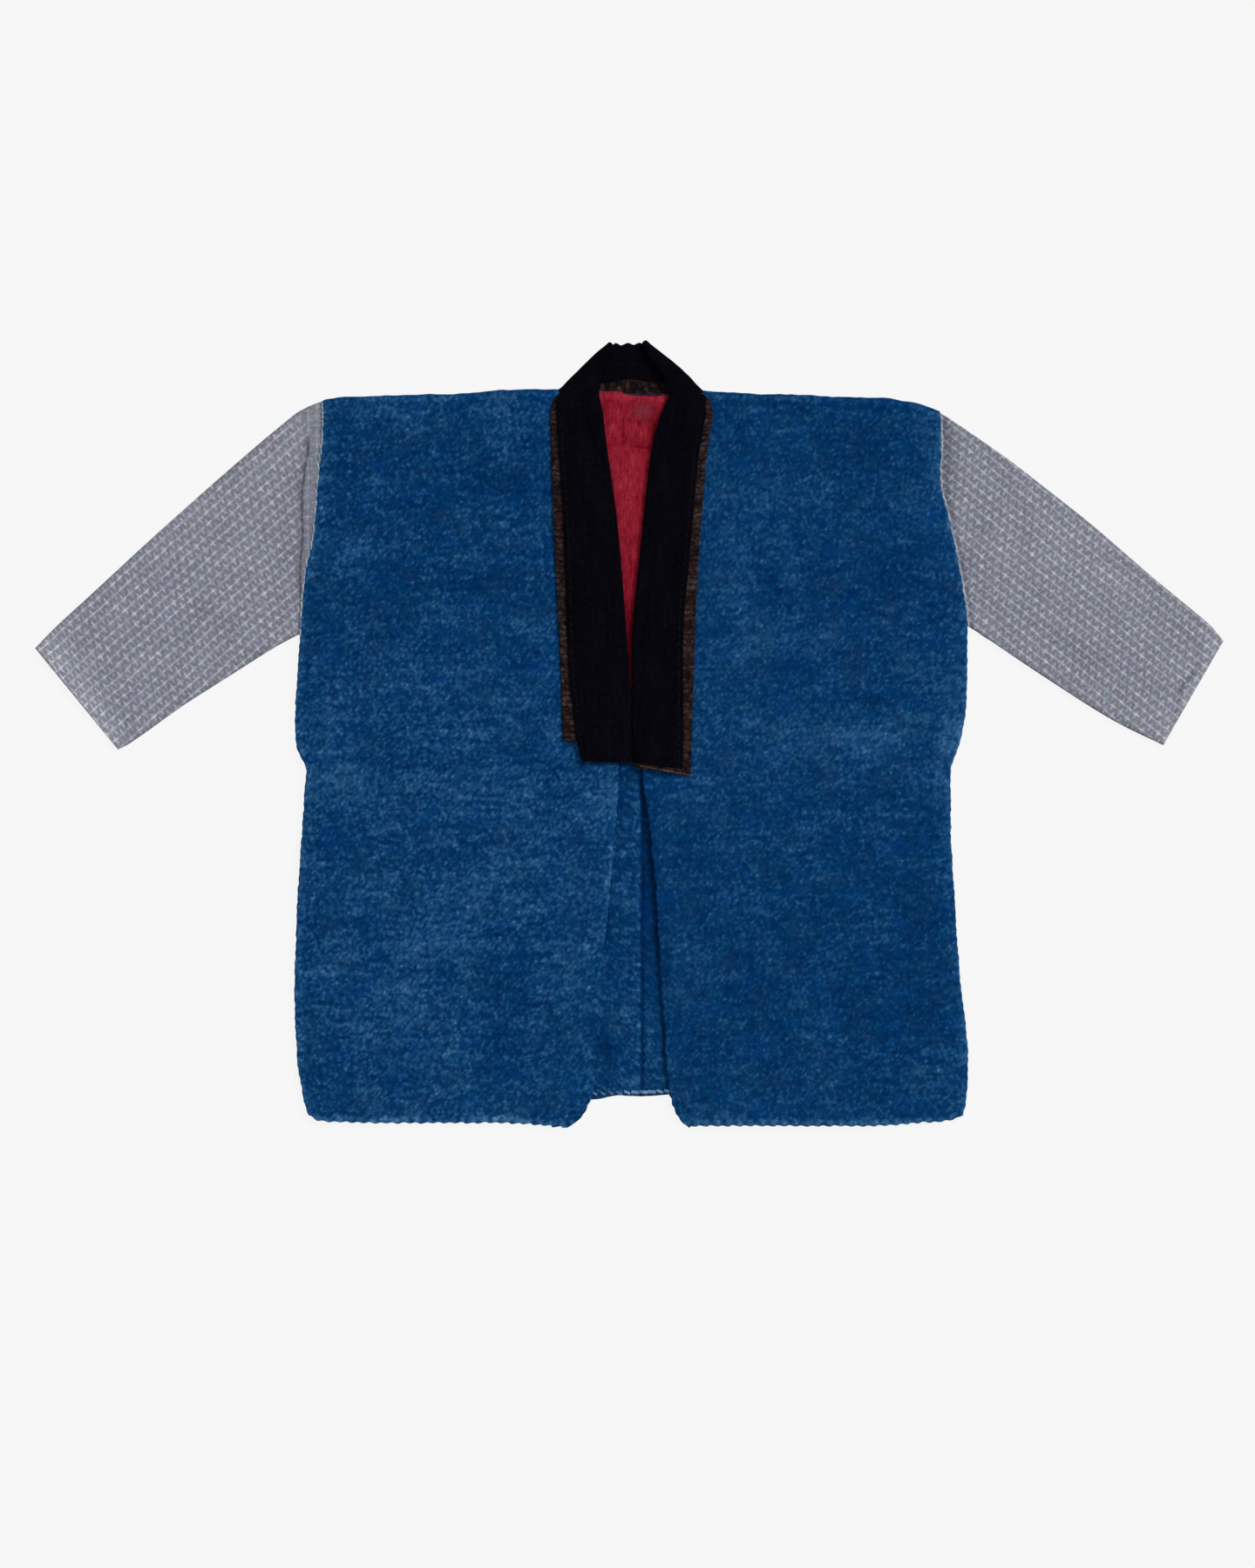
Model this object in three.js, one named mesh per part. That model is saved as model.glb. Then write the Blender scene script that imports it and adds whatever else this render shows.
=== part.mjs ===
// A quilted cotton work coat with checked sleeves and a covered collar, laid flat with its front up.
// Millimetres. +X is to the right of the picture, +Y towards the collar, +Z up.
// The origin is the middle of the outline, on the surface that the coat lies on.
// "Right" and "left" in the names are the wearer's, so the right half is at -X.

import * as THREE from 'three';

// Cloth and clearances
const seamGap = 0.3;
const quiltWall = 3;
const sleeveWall = 1.3;
const liningWall = 1;
const underCollarWall = 2;
const coverWall = 1.3;
const coverInsideWall = 1;

// Heights of the layers, from the surface up
const liningBase = quiltWall + seamGap;
const liningClearance = 0.5;
const frontBase = liningBase + liningWall + liningClearance;
const frontTop = frontBase + quiltWall;
const sideDrop = frontBase - liningBase;
const sleeveHeight = liningBase + sleeveWall;

// Quilting on the front: one raised row for each band of stitching, higher in some places
const ridgePitch = 22;
const ridgeHeight = 0.8;
const ridgeMeanShare = 0.68;
const ridgeWaves = [
  { lengthX: 37, lengthY: 71, share: 0.14 },
  { lengthX: -89, lengthY: 53, share: 0.12 },
  { lengthX: 17, lengthY: -29, share: 0.06 },
];

// Grid of a body half
const frontLength = 750;
const panelColumns = 8;
const neckColumns = 3;
const backRows = 26;
const foldRows = 4;
const frontRows = 2 * Math.round(frontLength / ridgePitch);

// Body outline
const backHemY = -374.4;
const necklineY = 350.8;
const centreSeamX = 13.5;
const shoulderSideY = 340;
const edgeDropWidth = 24;

// The collar lies on the fronts above this height, where they are plain and don't sink
const bandBottomY = -40;
const bandEase = 20;
const bandSideFrom = 0.55;
const bandSideTo = 0.85;
const shoulderEase = 0.12;

const rightHalf = {
  neckCutX: -73.8,
  backEdgeX: centreSeamX - seamGap / 2,
  shoulder: [
    { x: -315.9, y: 346.5 },
    { x: -289.8, y: 349.2 },
    { x: -165.6, y: 353.7 },
    { x: -69.3, y: 356.4 },
  ],
  side: [
    { y: -392.4, x: -332.1 },
    { y: -375.3, x: -336.6 },
    { y: -334.8, x: -342.9 },
    { y: -267.3, x: -345.6 },
    { y: -172.8, x: -342.9 },
    { y: -118.8, x: -339.3 },
    { y: -51.3, x: -334.8 },
    { y: -37.8, x: -333.9 },
    { y: -10.8, x: -343.8 },
    { y: 10, x: -345.2 },
    { y: 97.2, x: -340.2 },
    { y: 161.1, x: -336.6 },
    { y: 225.9, x: -325.6 },
    { y: 271.8, x: -320.6 },
    { y: 315, x: -316.2 },
    { y: 346.5, x: -315.9 },
  ],
  frontEdge: [
    { y: -406, x: -64.8 },
    { y: -400.5, x: -55.8 },
    { y: -388.8, x: -45 },
    { y: -366.3, x: -36.9 },
    { y: -312.3, x: -33.3 },
    { y: -222.3, x: -26.1 },
    { y: -141.3, x: -18 },
    { y: -33.3, x: -10.8 },
    { y: 20, x: -26 },
    { y: 100, x: -46 },
    { y: 200, x: -62 },
    { y: 300, x: -72 },
    { y: 353, x: -73.8 },
  ],
  frontHem: [
    { x: -332.1, y: -392.4 },
    { x: -307.8, y: -396.9 },
    { x: -262.8, y: -400.5 },
    { x: -150, y: -400.8 },
    { x: -109.8, y: -402.3 },
    { x: -64.8, y: -406 },
  ],
  // Soft creases where the coat lay folded away
  creases: [
    { x: -197, y: -51, length: 230, slant: 0, width: 17, height: 1.2 },
    { x: -164, y: -200, length: 190, slant: 0.9, width: 26, height: 0.7 },
    { x: -205, y: 262, length: 180, slant: -0.1, width: 20, height: -0.5 },
  ],
};

const leftHalf = {
  neckCutX: 79.2,
  backEdgeX: centreSeamX + seamGap / 2,
  shoulder: [
    { x: 74.7, y: 354.6 },
    { x: 108.9, y: 353.7 },
    { x: 305.1, y: 340.2 },
    { x: 320.4, y: 333.9 },
  ],
  side: [
    { y: -393.3, x: 344.7 },
    { y: -375.3, x: 348.3 },
    { y: -334.8, x: 350.1 },
    { y: -253.8, x: 342 },
    { y: -159.3, x: 335.7 },
    { y: -91.8, x: 332.1 },
    { y: -37.8, x: 332.1 },
    { y: -10.8, x: 341.1 },
    { y: 16.2, x: 346.5 },
    { y: 56.7, x: 349.2 },
    { y: 112.5, x: 349.2 },
    { y: 161.1, x: 342.9 },
    { y: 198.9, x: 336 },
    { y: 236.7, x: 328.5 },
    { y: 287.1, x: 321.6 },
    { y: 333.9, x: 320.4 },
  ],
  frontEdge: [
    { y: -406, x: 61.2 },
    { y: -401.4, x: 55.8 },
    { y: -393.3, x: 49.5 },
    { y: -368.1, x: 41.4 },
    { y: -321.3, x: 36.9 },
    { y: -249.3, x: 32.4 },
    { y: -159.3, x: 27 },
    { y: -96.3, x: 20.7 },
    { y: -33.3, x: 13.5 },
    { y: 20, x: 30 },
    { y: 100, x: 50 },
    { y: 200, x: 66 },
    { y: 300, x: 77 },
    { y: 351, x: 79.2 },
  ],
  frontHem: [
    { x: 61.2, y: -406 },
    { x: 70.2, y: -404.1 },
    { x: 250.2, y: -404.1 },
    { x: 295.2, y: -400.5 },
    { x: 344.7, y: -393.3 },
  ],
  creases: [
    { x: 241, y: 12, length: 200, slant: 0.05, width: 19, height: 1.2 },
    { x: 282, y: 165, length: 70, slant: 0.6, width: 30, height: -0.6 },
    { x: 180, y: -150, length: 150, slant: -0.5, width: 28, height: 0.6 },
  ],
};

// Sleeves: one row for each section, its ends on the folded edge and on the underarm seam
const sleeveRings = 13;
const sleeveAcross = 9;
const sleeveFoldSteps = 3;
const ringCrowding = 1.25;
const armholeGap = 0.7;
const armholeEase = 0.3;

const rightSleeve = {
  half: rightHalf,
  outward: -1,
  sections: [
    { foldX: -316.6, foldY: 345.8, seamX: -341.2, seamY: 104.4 },
    { foldX: -339.3, foldY: 337.5, seamX: -358, seamY: 95.5 },
    { foldX: -369, foldY: 313.2, seamX: -377.1, seamY: 83.7 },
    { foldX: -431, foldY: 255.7, seamX: -419.4, seamY: 56.7 },
    { foldX: -495, foldY: 196.3, seamX: -461.7, seamY: 29.7 },
    { foldX: -556, foldY: 139.7, seamX: -500, seamY: 2.2 },
    { foldX: -594, foldY: 104.4, seamX: -519.3, seamY: -10.8 },
    { foldX: -614, foldY: 88.2, seamX: -528.3, seamY: -15.3 },
  ],
  // A tuck in the cloth beside the armhole stands up from the rest of the sleeve
  tuck: { height: 0.9, lowY: 150, highY: 318, lowWidth: 5, highWidth: 18 },
};

const leftSleeve = {
  half: leftHalf,
  outward: 1,
  sections: [
    { foldX: 321.2, foldY: 333.2, seamX: 349.8, seamY: 112.8 },
    { foldX: 351.9, foldY: 313.2, seamX: 374.4, seamY: 97.2 },
    { foldX: 389.7, foldY: 286.2, seamX: 413.1, seamY: 70.2 },
    { foldX: 433, foldY: 252.8, seamX: 444, seamY: 49.9 },
    { foldX: 476.1, foldY: 218.7, seamX: 475.2, seamY: 29.7 },
    { foldX: 539.8, foldY: 163.8, seamX: 510, seamY: 9.4 },
    { foldX: 603, foldY: 110.7, seamX: 545, seamY: -7.5 },
    { foldX: 614, foldY: 97.2, seamX: 551.7, seamY: -10.8 },
  ],
  tuck: { height: 0, lowY: 0, highY: 0, lowWidth: 1, highWidth: 1 },
};

// Collar: a row for each station, from the seam edge to the free edge.
// cover is the strip of under-collar left bare, sag how far the free edge droops into the opening,
// and fold is 1 where the band lies on the fold beside the neck.
const rightBand = [
  { seamX: -66.5, seamY: -27, freeX: 1.9, freeY: -28.8, cover: 18, sag: 3.2, fold: 0 },
  { seamX: -68.4, seamY: -6.3, freeX: 1.8, freeY: -8, cover: 14, sag: 3.2, fold: 0 },
  { seamX: -69.7, seamY: 34, freeX: 1.4, freeY: 32, cover: 8.6, sag: 3.2, fold: 0 },
  { seamX: -71.1, seamY: 74.7, freeX: 0.4, freeY: 74.7, cover: 5, sag: 3, fold: 0 },
  { seamX: -73.8, seamY: 128.7, freeX: -3.1, freeY: 126, cover: 6.2, sag: 3, fold: 0 },
  { seamX: -76.5, seamY: 182.7, freeX: -7.1, freeY: 180, cover: 7.9, sag: 3, fold: 0 },
  { seamX: -78.6, seamY: 236, freeX: -14, freeY: 234, cover: 8.8, sag: 2.9, fold: 0 },
  { seamX: -80.4, seamY: 290, freeX: -22.2, freeY: 290, cover: 9.7, sag: 2.6, fold: 0 },
  { seamX: -81.5, seamY: 325, freeX: -28.2, freeY: 332, cover: 9.6, sag: 1.8, fold: 0 },
  { seamX: -79, seamY: 335.5, freeX: -29, freeY: 354, cover: 7.6, sag: 1, fold: 0 },
  { seamX: -74.6, seamY: 341.5, freeX: -24.5, freeY: 374, cover: 5, sag: 0.3, fold: 0 },
  { seamX: -70.6, seamY: 347.4, freeX: -17.6, freeY: 390.5, cover: 3, sag: 0, fold: 0.35 },
  { seamX: -67.4, seamY: 352.9, freeX: -13.3, freeY: 400.8, cover: 2, sag: 0, fold: 1 },
];
const neckBand = [
  { seamX: -67.4, seamY: 352.9, freeX: -13.3, freeY: 400.8, cover: 2, gather: 0 },
  { seamX: -56, seamY: 352.4, freeX: -11.6, freeY: 401.2, cover: 8, gather: 0 },
  { seamX: -42, seamY: 351.5, freeX: -10, freeY: 401.5, cover: 9, gather: 0.4 },
  { seamX: -24, seamY: 351.2, freeX: -7.5, freeY: 401.7, cover: 9, gather: 0 },
  { seamX: 0, seamY: 351.2, freeX: -1.2, freeY: 404.7, cover: 9, gather: 1.3 },
  { seamX: 22, seamY: 351.2, freeX: 4.1, freeY: 402.2, cover: 9, gather: 0 },
  { seamX: 40, seamY: 351.2, freeX: 6.6, freeY: 402.2, cover: 9, gather: 0.4 },
  { seamX: 56, seamY: 351.3, freeX: 9, freeY: 402, cover: 8, gather: 0 },
  { seamX: 72.2, seamY: 351.5, freeX: 11.4, freeY: 402.7, cover: 2, gather: 0 },
];
const leftBand = [
  { seamX: 72.2, seamY: 351.5, freeX: 11.4, freeY: 402.7, cover: 2, sag: 0, fold: 1 },
  { seamX: 75.4, seamY: 346.2, freeX: 18.6, freeY: 391, cover: 3, sag: 0, fold: 0.35 },
  { seamX: 79.8, seamY: 341.2, freeX: 28, freeY: 375, cover: 5, sag: 0.3, fold: 0 },
  { seamX: 84.4, seamY: 334.3, freeX: 35.6, freeY: 355, cover: 7.6, sag: 1, fold: 0 },
  { seamX: 86.2, seamY: 324, freeX: 33.8, freeY: 333, cover: 9.4, sag: 1.8, fold: 0 },
  { seamX: 81.2, seamY: 290.7, freeX: 27.2, freeY: 290, cover: 8.3, sag: 2.6, fold: 0 },
  { seamX: 77.4, seamY: 236, freeX: 18.6, freeY: 234, cover: 6.9, sag: 2.9, fold: 0 },
  { seamX: 73.8, seamY: 182, freeX: 13, freeY: 178, cover: 5.9, sag: 3, fold: 0 },
  { seamX: 70.2, seamY: 128.7, freeX: 9.4, freeY: 126, cover: 5, sag: 3, fold: 0 },
  { seamX: 67.7, seamY: 83, freeX: 6.4, freeY: 79, cover: 4.2, sag: 3, fold: 0 },
  { seamX: 65.7, seamY: 38.7, freeX: 4.6, freeY: 36, cover: 5.8, sag: 3.2, fold: 0 },
  { seamX: 64.2, seamY: -6.3, freeX: 3.8, freeY: -4, cover: 9, sag: 3.2, fold: 0 },
  { seamX: 63.1, seamY: -37, freeX: 3.7, freeY: -29.6, cover: 8.4, sag: 3.2, fold: 0 },
  { seamX: 63, seamY: -41.4, freeX: 3.7, freeY: -33.8, cover: 8.4, sag: 3.2, fold: 0 },
];
const stationsPerRow = 2;
const foldTurns = 6;
const stackHeight = coverWall + underCollarWall + coverInsideWall + 2 * seamGap;
const halfStack = stackHeight / 2;
const foldRadius = 3.1;
const foldCentreZ = halfStack + foldRadius;
const overPanelLift = frontTop + seamGap + halfStack - (foldCentreZ + foldRadius);
const seamEdgeDrop = coverInsideWall + seamGap;
const insideBareStrip = 15;
const freeStrip = 6;
const knotSpacing = 2;
const firstSagShare = 0.4;
const gatherFrom = 0.45;
const panelEdgeMargin = 1.5;
const rightFoldBulge = { reach: 3.5, at: 0.7 };
const leftFoldBulge = { reach: 3.4, at: 0.38 };

// Lining: the patch below the back neck, with the margin that the fronts hide
const lining = { lowX: -62, highX: 66, lowY: 48, highY: 350.4, columns: 4, rows: 8 };

const lerp = (a, b, t) => a + (b - a) * t;

function smooth(low, high, value) {
  const t = Math.min(1, Math.max(0, (value - low) / (high - low)));
  return t * t * (3 - 2 * t);
}

// A curve through the rows of a table, sorted by its first column, without overshoot
function curveThrough(rows, from, to) {
  const slope = (a, b) => (b[to] - a[to]) / (b[from] - a[from]);
  const tangents = rows.map((row, n) => {
    if (n === 0) return slope(row, rows[1]);
    if (n === rows.length - 1) return slope(rows[n - 1], row);
    const before = slope(rows[n - 1], row);
    const after = slope(row, rows[n + 1]);
    return before * after <= 0 ? 0 : (2 * before * after) / (before + after);
  });
  return (value) => {
    if (value <= rows[0][from]) return rows[0][to];
    if (value >= rows[rows.length - 1][from]) return rows[rows.length - 1][to];
    const n = rows.findIndex((row) => row[from] > value) - 1;
    const span = rows[n + 1][from] - rows[n][from];
    const t = (value - rows[n][from]) / span;
    const rise = rows[n + 1][to] - rows[n][to];
    const bend = span * ((1 - t) * tangents[n] - t * tangents[n + 1]) + (2 * t - 1) * rise;
    return rows[n][to] + t * rise + t * (1 - t) * bend;
  };
}

// Rows of a table with smooth rows between them
function refineRows(rows, steps) {
  const value = (key, n) => rows[Math.min(rows.length - 1, Math.max(0, n))][key];
  const mix = (key, n, t) => {
    const [a, b, c, d] = [-1, 0, 1, 2].map((step) => value(key, n + step));
    const tangentB = (c - a) / 2;
    const tangentC = (d - b) / 2;
    const cubic = 2 * b - 2 * c + tangentB + tangentC;
    const square = -3 * b + 3 * c - 2 * tangentB - tangentC;
    return ((cubic * t + square) * t + tangentB) * t + b;
  };
  const refined = [];
  for (let n = 0; n < rows.length - 1; n += 1) {
    for (let step = 0; step < steps; step += 1) {
      const entries = Object.keys(rows[n]).map((key) => [key, mix(key, n, step / steps)]);
      refined.push(Object.fromEntries(entries));
    }
  }
  refined.push(rows[rows.length - 1]);
  return refined;
}

// A closed wall between two skins over a grid. Cells that aren't present are left open, and
// crossed cells are split along their other diagonal, so that folded layers stay parallel.
function clothWall({ columns, rows, outside, inside, present, crossed, round }) {
  const positions = [];
  const index = [];
  const known = new Map();
  const vertex = (skin, name, i, j) => {
    const column = round ? i % columns : i;
    const key = `${name} ${column} ${j}`;
    if (!known.has(key)) {
      known.set(key, positions.length / 3);
      positions.push(...skin(column, j));
    }
    return known.get(key);
  };
  const filled = (i, j) => {
    const column = round ? (i + columns) % columns : i;
    if (column < 0 || column >= columns || j < 0 || j >= rows) return false;
    return present ? present(column, j) : true;
  };
  const quad = (a, b, c, d) => index.push(a, b, c, a, c, d);
  for (let j = 0; j < rows; j += 1) {
    for (let i = 0; i < columns; i += 1) {
      if (!filled(i, j)) continue;
      const corners = [[i, j], [i + 1, j], [i + 1, j + 1], [i, j + 1]];
      const beside = [[i, j - 1], [i + 1, j], [i, j + 1], [i - 1, j]];
      const outer = corners.map(([a, b]) => vertex(outside, 'outside', a, b));
      const inner = corners.map(([a, b]) => vertex(inside, 'inside', a, b));
      const start = crossed && crossed(i) ? 1 : 0;
      const around = [0, 1, 2, 3].map((n) => (start + n) % 4);
      const back = [0, 3, 2, 1].map((n) => (start + n) % 4);
      quad(...around.map((n) => outer[n]));
      quad(...back.map((n) => inner[n]));
      beside.forEach(([a, b], n) => {
        const next = (n + 1) % 4;
        if (!filled(a, b)) quad(outer[next], outer[n], inner[n], inner[next]);
      });
    }
  }
  const geometry = new THREE.BufferGeometry();
  geometry.setAttribute('position', new THREE.Float32BufferAttribute(positions, 3));
  geometry.setIndex(facingOut(positions, index));
  geometry.computeVertexNormals();
  return geometry;
}

// The signed volume says whether the faces point out, and they are turned round if not
function facingOut(positions, index) {
  const corner = (n) => new THREE.Vector3().fromArray(positions, index[n] * 3);
  let volume = 0;
  for (let n = 0; n < index.length; n += 3) {
    volume += corner(n).dot(corner(n + 1).cross(corner(n + 2)));
  }
  return volume > 0 ? index : index.toReversed();
}

function creaseLift(half, x, y) {
  return half.creases.reduce((sum, crease) => {
    const along = Math.abs(x - crease.x) / (crease.length / 2);
    const across = Math.abs(y - crease.y - (x - crease.x) * crease.slant) / crease.width;
    return sum + crease.height * (1 - smooth(0.5, 1.15, along)) * (1 - smooth(0, 1, across));
  }, 0);
}

function bodyHalf(half) {
  const sideX = curveThrough(half.side, 'y', 'x');
  const edgeX = curveThrough(half.frontEdge, 'y', 'x');
  const hemY = curveThrough(half.frontHem, 'x', 'y');
  const shoulderY = curveThrough(half.shoulder, 'x', 'y');
  const cornerX = half.side[0].x;
  const shoulderX = sideX(shoulderSideY);
  const hemEndX = half.frontEdge[0].x;

  // The front wall sinks towards the back along the side, and along its free edge below the collar
  const sinking = (distance) => 1 - smooth(0, edgeDropWidth, distance);
  const drop = (i, y, width) => {
    const fromSide = (i / panelColumns) * width;
    const belowBand = 1 - smooth(bandBottomY - bandEase, bandBottomY, y);
    return sideDrop * Math.max(sinking(fromSide), sinking(width - fromSide) * belowBand);
  };
  const column = (i) => {
    const across = Math.min(1, i / panelColumns);
    const x = lerp(shoulderX, half.neckCutX, across);
    const radius = (frontTop - sideDrop * sinking(Math.abs(x - shoulderX))) / 2;
    const foldY = shoulderY(x) - radius;
    return { across, radius, foldY, hemY: hemY(lerp(cornerX, hemEndX, across)) };
  };

  const skin = (outer) => (i, j) => {
    const { across, radius, foldY, hemY: lowY } = column(i);
    if (j <= backRows) {
      const y = lerp(backHemY, i > panelColumns ? necklineY : foldY, j / backRows);
      const past = Math.max(0, i - panelColumns) / neckColumns;
      const x = lerp(lerp(sideX(y), half.neckCutX, across), half.backEdgeX, past);
      return [x, y, outer ? 0 : quiltWall];
    }
    if (j < backRows + foldRows) {
      const turn = (Math.PI * (j - backRows)) / foldRows;
      const reach = outer ? radius : radius - quiltWall;
      const x = lerp(sideX(foldY), half.neckCutX, across);
      return [x, foldY + reach * Math.sin(turn), radius - reach * Math.cos(turn)];
    }
    const row = j - backRows - foldRows;
    const y = lerp(foldY, lowY, row / frontRows);
    const width = Math.abs(edgeX(y) - sideX(y));
    const x = lerp(sideX(y), edgeX(y), across);
    const nearBand = smooth(bandSideFrom, bandSideTo, across);
    const underBand = nearBand * smooth(bandBottomY - 3 * bandEase, bandBottomY - bandEase, y);
    const withinEdges = across > 0 && across < 1 ? 1 : 0;
    const inField = (1 - underBand) * smooth(0, shoulderEase, row / frontRows) * withinEdges;
    const onRidge = row % 2 === 1 && row < frontRows - 1;
    const ridge = onRidge ? ridgeHeight * unevenness(x, y) * inField : 0;
    const top = frontTop - drop(i, y, width) + creaseLift(half, x, y) * inField;
    return [x, y, outer ? top + ridge : top - quiltWall];
  };
  return clothWall({
    columns: panelColumns + neckColumns,
    rows: backRows + foldRows + frontRows,
    outside: skin(true),
    inside: skin(false),
    present: (i, j) => i < panelColumns || j < backRows,
  });
}

// The share of their full height that the raised rows have at a point
function unevenness(x, y) {
  return ridgeWaves.reduce((sum, { lengthX, lengthY, share }) => {
    return sum + share * Math.sin(x / lengthX + y / lengthY);
  }, ridgeMeanShare);
}

function sleeve({ half, outward, sections, tuck }) {
  const sideX = curveThrough(half.side, 'y', 'x');
  const numbered = sections.map((section, n) => ({ ...section, at: n / (sections.length - 1) }));
  const curve = (key) => curveThrough(numbered, 'at', key);
  const fold = { x: curve('foldX'), y: curve('foldY') };
  const seam = { x: curve('seamX'), y: curve('seamY') };
  const columns = 2 * (sleeveAcross + sleeveFoldSteps + 1);
  const centreZ = sleeveHeight / 2;

  // Where a ring's point lies: its distance from the folded edge and its height
  const ringPlace = (i, length, outer) => {
    const reach = outer ? centreZ : centreZ - sleeveWall;
    const side = i < columns / 2 ? 1 : -1;
    const step = i % (columns / 2);
    const near = side > 0 ? centreZ : length - centreZ;
    const far = length - near;
    if (step <= sleeveAcross) {
      return { across: lerp(near, far, step / sleeveAcross), z: centreZ + side * reach, top: side > 0 };
    }
    const turn = (Math.PI * (step - sleeveAcross)) / (sleeveFoldSteps + 1);
    const z = centreZ + side * reach * Math.cos(turn);
    return { across: far + side * reach * Math.sin(turn), z, top: false };
  };

  const skin = (outer) => (i, j) => {
    const at = (j / sleeveRings) ** ringCrowding;
    const point = new THREE.Vector2(fold.x(at), fold.y(at));
    const seamEnd = new THREE.Vector2(seam.x(at), seam.y(at));
    const length = point.distanceTo(seamEnd);
    const place = ringPlace(i, length, outer);
    point.lerp(seamEnd, place.across / length);
    const armholeX = sideX(point.y) + outward * armholeGap;
    point.x += (armholeX - lineX(sections[0], point.y)) * (1 - smooth(0, armholeEase, at));
    const fromArmhole = outward * (point.x - sideX(point.y));
    const rise = (point.y - tuck.lowY) / (tuck.highY - tuck.lowY || 1);
    const tuckWidth = lerp(tuck.lowWidth, tuck.highWidth, rise);
    const inTuck = place.top && rise >= 0 && rise <= 1 && fromArmhole < tuckWidth ? tuck.height : 0;
    return [point.x, point.y, place.z + inTuck];
  };
  const rows = sleeveRings;
  return clothWall({ columns, rows, outside: skin(true), inside: skin(false), round: true });
}

// X on the straight line between the ends of a section
function lineX(section, y) {
  return lerp(section.foldX, section.seamX, (y - section.foldY) / (section.seamY - section.foldY));
}

// Stations of the whole collar, from the right front round the neck to the left front
function collarStations() {
  const onHalf = (rows, half) => refineRows(rows, stationsPerRow).map((row) => ({ ...row, half }));
  const rightFront = onHalf(rightBand, rightHalf);
  const leftFront = onHalf(leftBand, leftHalf);
  const neck = refineRows(neckBand, stationsPerRow).slice(1, -1);
  const folded = (row, bulge) => {
    const turns = Array.from({ length: foldTurns + 1 }, (_, n) => (Math.PI * n) / foldTurns);
    return turns.map((turn) => ({ ...row, turn, bulge }));
  };
  return [
    ...rightFront.slice(0, -1),
    ...folded(rightFront.at(-1), rightFoldBulge),
    ...neck.map((row) => ({ ...row, turn: Math.PI })),
    ...folded(leftFront[0], leftFoldBulge).reverse(),
    ...leftFront.slice(1),
  ].map(collarStation);
}

// A station with the distances from the seam edge at which the layers start, bend and end.
// All layers share them, so they stay parallel. lowered is how far the layers sink there.
function collarStation(row) {
  const station = { turn: 0, sag: 0, fold: 1, gather: 0, bulge: null, ...row };
  const seam = new THREE.Vector2(row.seamX, row.seamY);
  const direction = new THREE.Vector2(row.freeX, row.freeY).sub(seam);
  const width = direction.length();
  const wrap = width - halfStack;
  const inside = Math.max(insideBareStrip, row.cover + knotSpacing);
  const edgeX = row.half ? curveThrough(row.half.frontEdge, 'y', 'x')(row.seamY) : row.seamX;
  const toEdge = ((edgeX - row.seamX) / direction.x) * width + panelEdgeMargin;
  const panel = Math.min(wrap - freeStrip, Math.max(inside + knotSpacing, toEdge));
  const upward = (1 + Math.cos(station.turn)) / 2;
  const knots = [
    { across: 0, lowered: seamEdgeDrop },
    { across: row.cover, lowered: seamEdgeDrop * (1 - row.cover / inside) * upward },
    { across: inside, lowered: 0 },
    { across: panel, lowered: 0 },
    { across: (panel + wrap) / 2, lowered: station.sag * firstSagShare },
    { across: wrap, lowered: station.sag },
  ];
  return { ...station, seam, width, knots, direction: direction.normalize() };
}

// A point of the collar's layers, offset from the middle of the layers
function collarPoint(station, { across, lowered }, offset) {
  const { seam, direction, turn, bulge, width } = station;
  const toRight = direction.x > 0 ? 1 : -1;
  const outward = new THREE.Vector2(-direction.y, direction.x).multiplyScalar(toRight);
  const share = across / width;
  const swell = bulge ? smooth(0, bulge.at, share) * (1 - smooth(bulge.at, 1, share)) : 0;
  const bulged = bulge ? bulge.reach * swell : 0;
  const reach = (foldRadius + offset + bulged) * Math.sin(turn);
  const point = seam.clone().addScaledVector(direction, across).addScaledVector(outward, reach);
  const lift = turn === 0 ? overPanelLift * (1 - station.fold) : 0;
  const gathered = turn === Math.PI ? station.gather * smooth(gatherFrom, 1, share) : 0;
  const z = foldCentreZ + (foldRadius + offset) * Math.cos(turn) + lift + gathered - lowered;
  return [point.x, point.y, z];
}

function underCollar(stations) {
  const top = halfStack - coverWall - seamGap;
  const skin = (offset) => (i, j) => collarPoint(stations[j], stations[j].knots[i], offset);
  return clothWall({
    columns: stations[0].knots.length - 1,
    rows: stations.length - 1,
    outside: skin(top),
    inside: skin(top - underCollarWall),
  });
}

// The cover runs over the under-collar, round its free edge and back below it
function collarCover(stations) {
  const section = ({ knots }, outer) => {
    const high = outer ? halfStack : halfStack - coverWall;
    const low = outer ? -halfStack : coverInsideWall - halfStack;
    const wrap = knots.at(-1);
    const radius = (high - low) / 2;
    const over = knots.slice(1).map((knot) => ({ knot, offset: high }));
    const turned = [0.25, 0.5, 0.75].map((share) => ({
      knot: { ...wrap, across: wrap.across + radius * Math.sin(Math.PI * share) },
      offset: (high + low) / 2 + radius * Math.cos(Math.PI * share),
    }));
    const under = knots.slice(2).reverse().map((knot) => ({ knot, offset: low }));
    return [...over, ...turned, ...under];
  };
  const skin = (outer) => (i, j) => {
    const { knot, offset } = section(stations[j], outer)[i];
    return collarPoint(stations[j], knot, offset);
  };
  const columns = section(stations[0], true).length - 1;
  return clothWall({
    columns,
    rows: stations.length - 1,
    outside: skin(true),
    inside: skin(false),
    crossed: (i) => i > columns / 2,
  });
}

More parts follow.
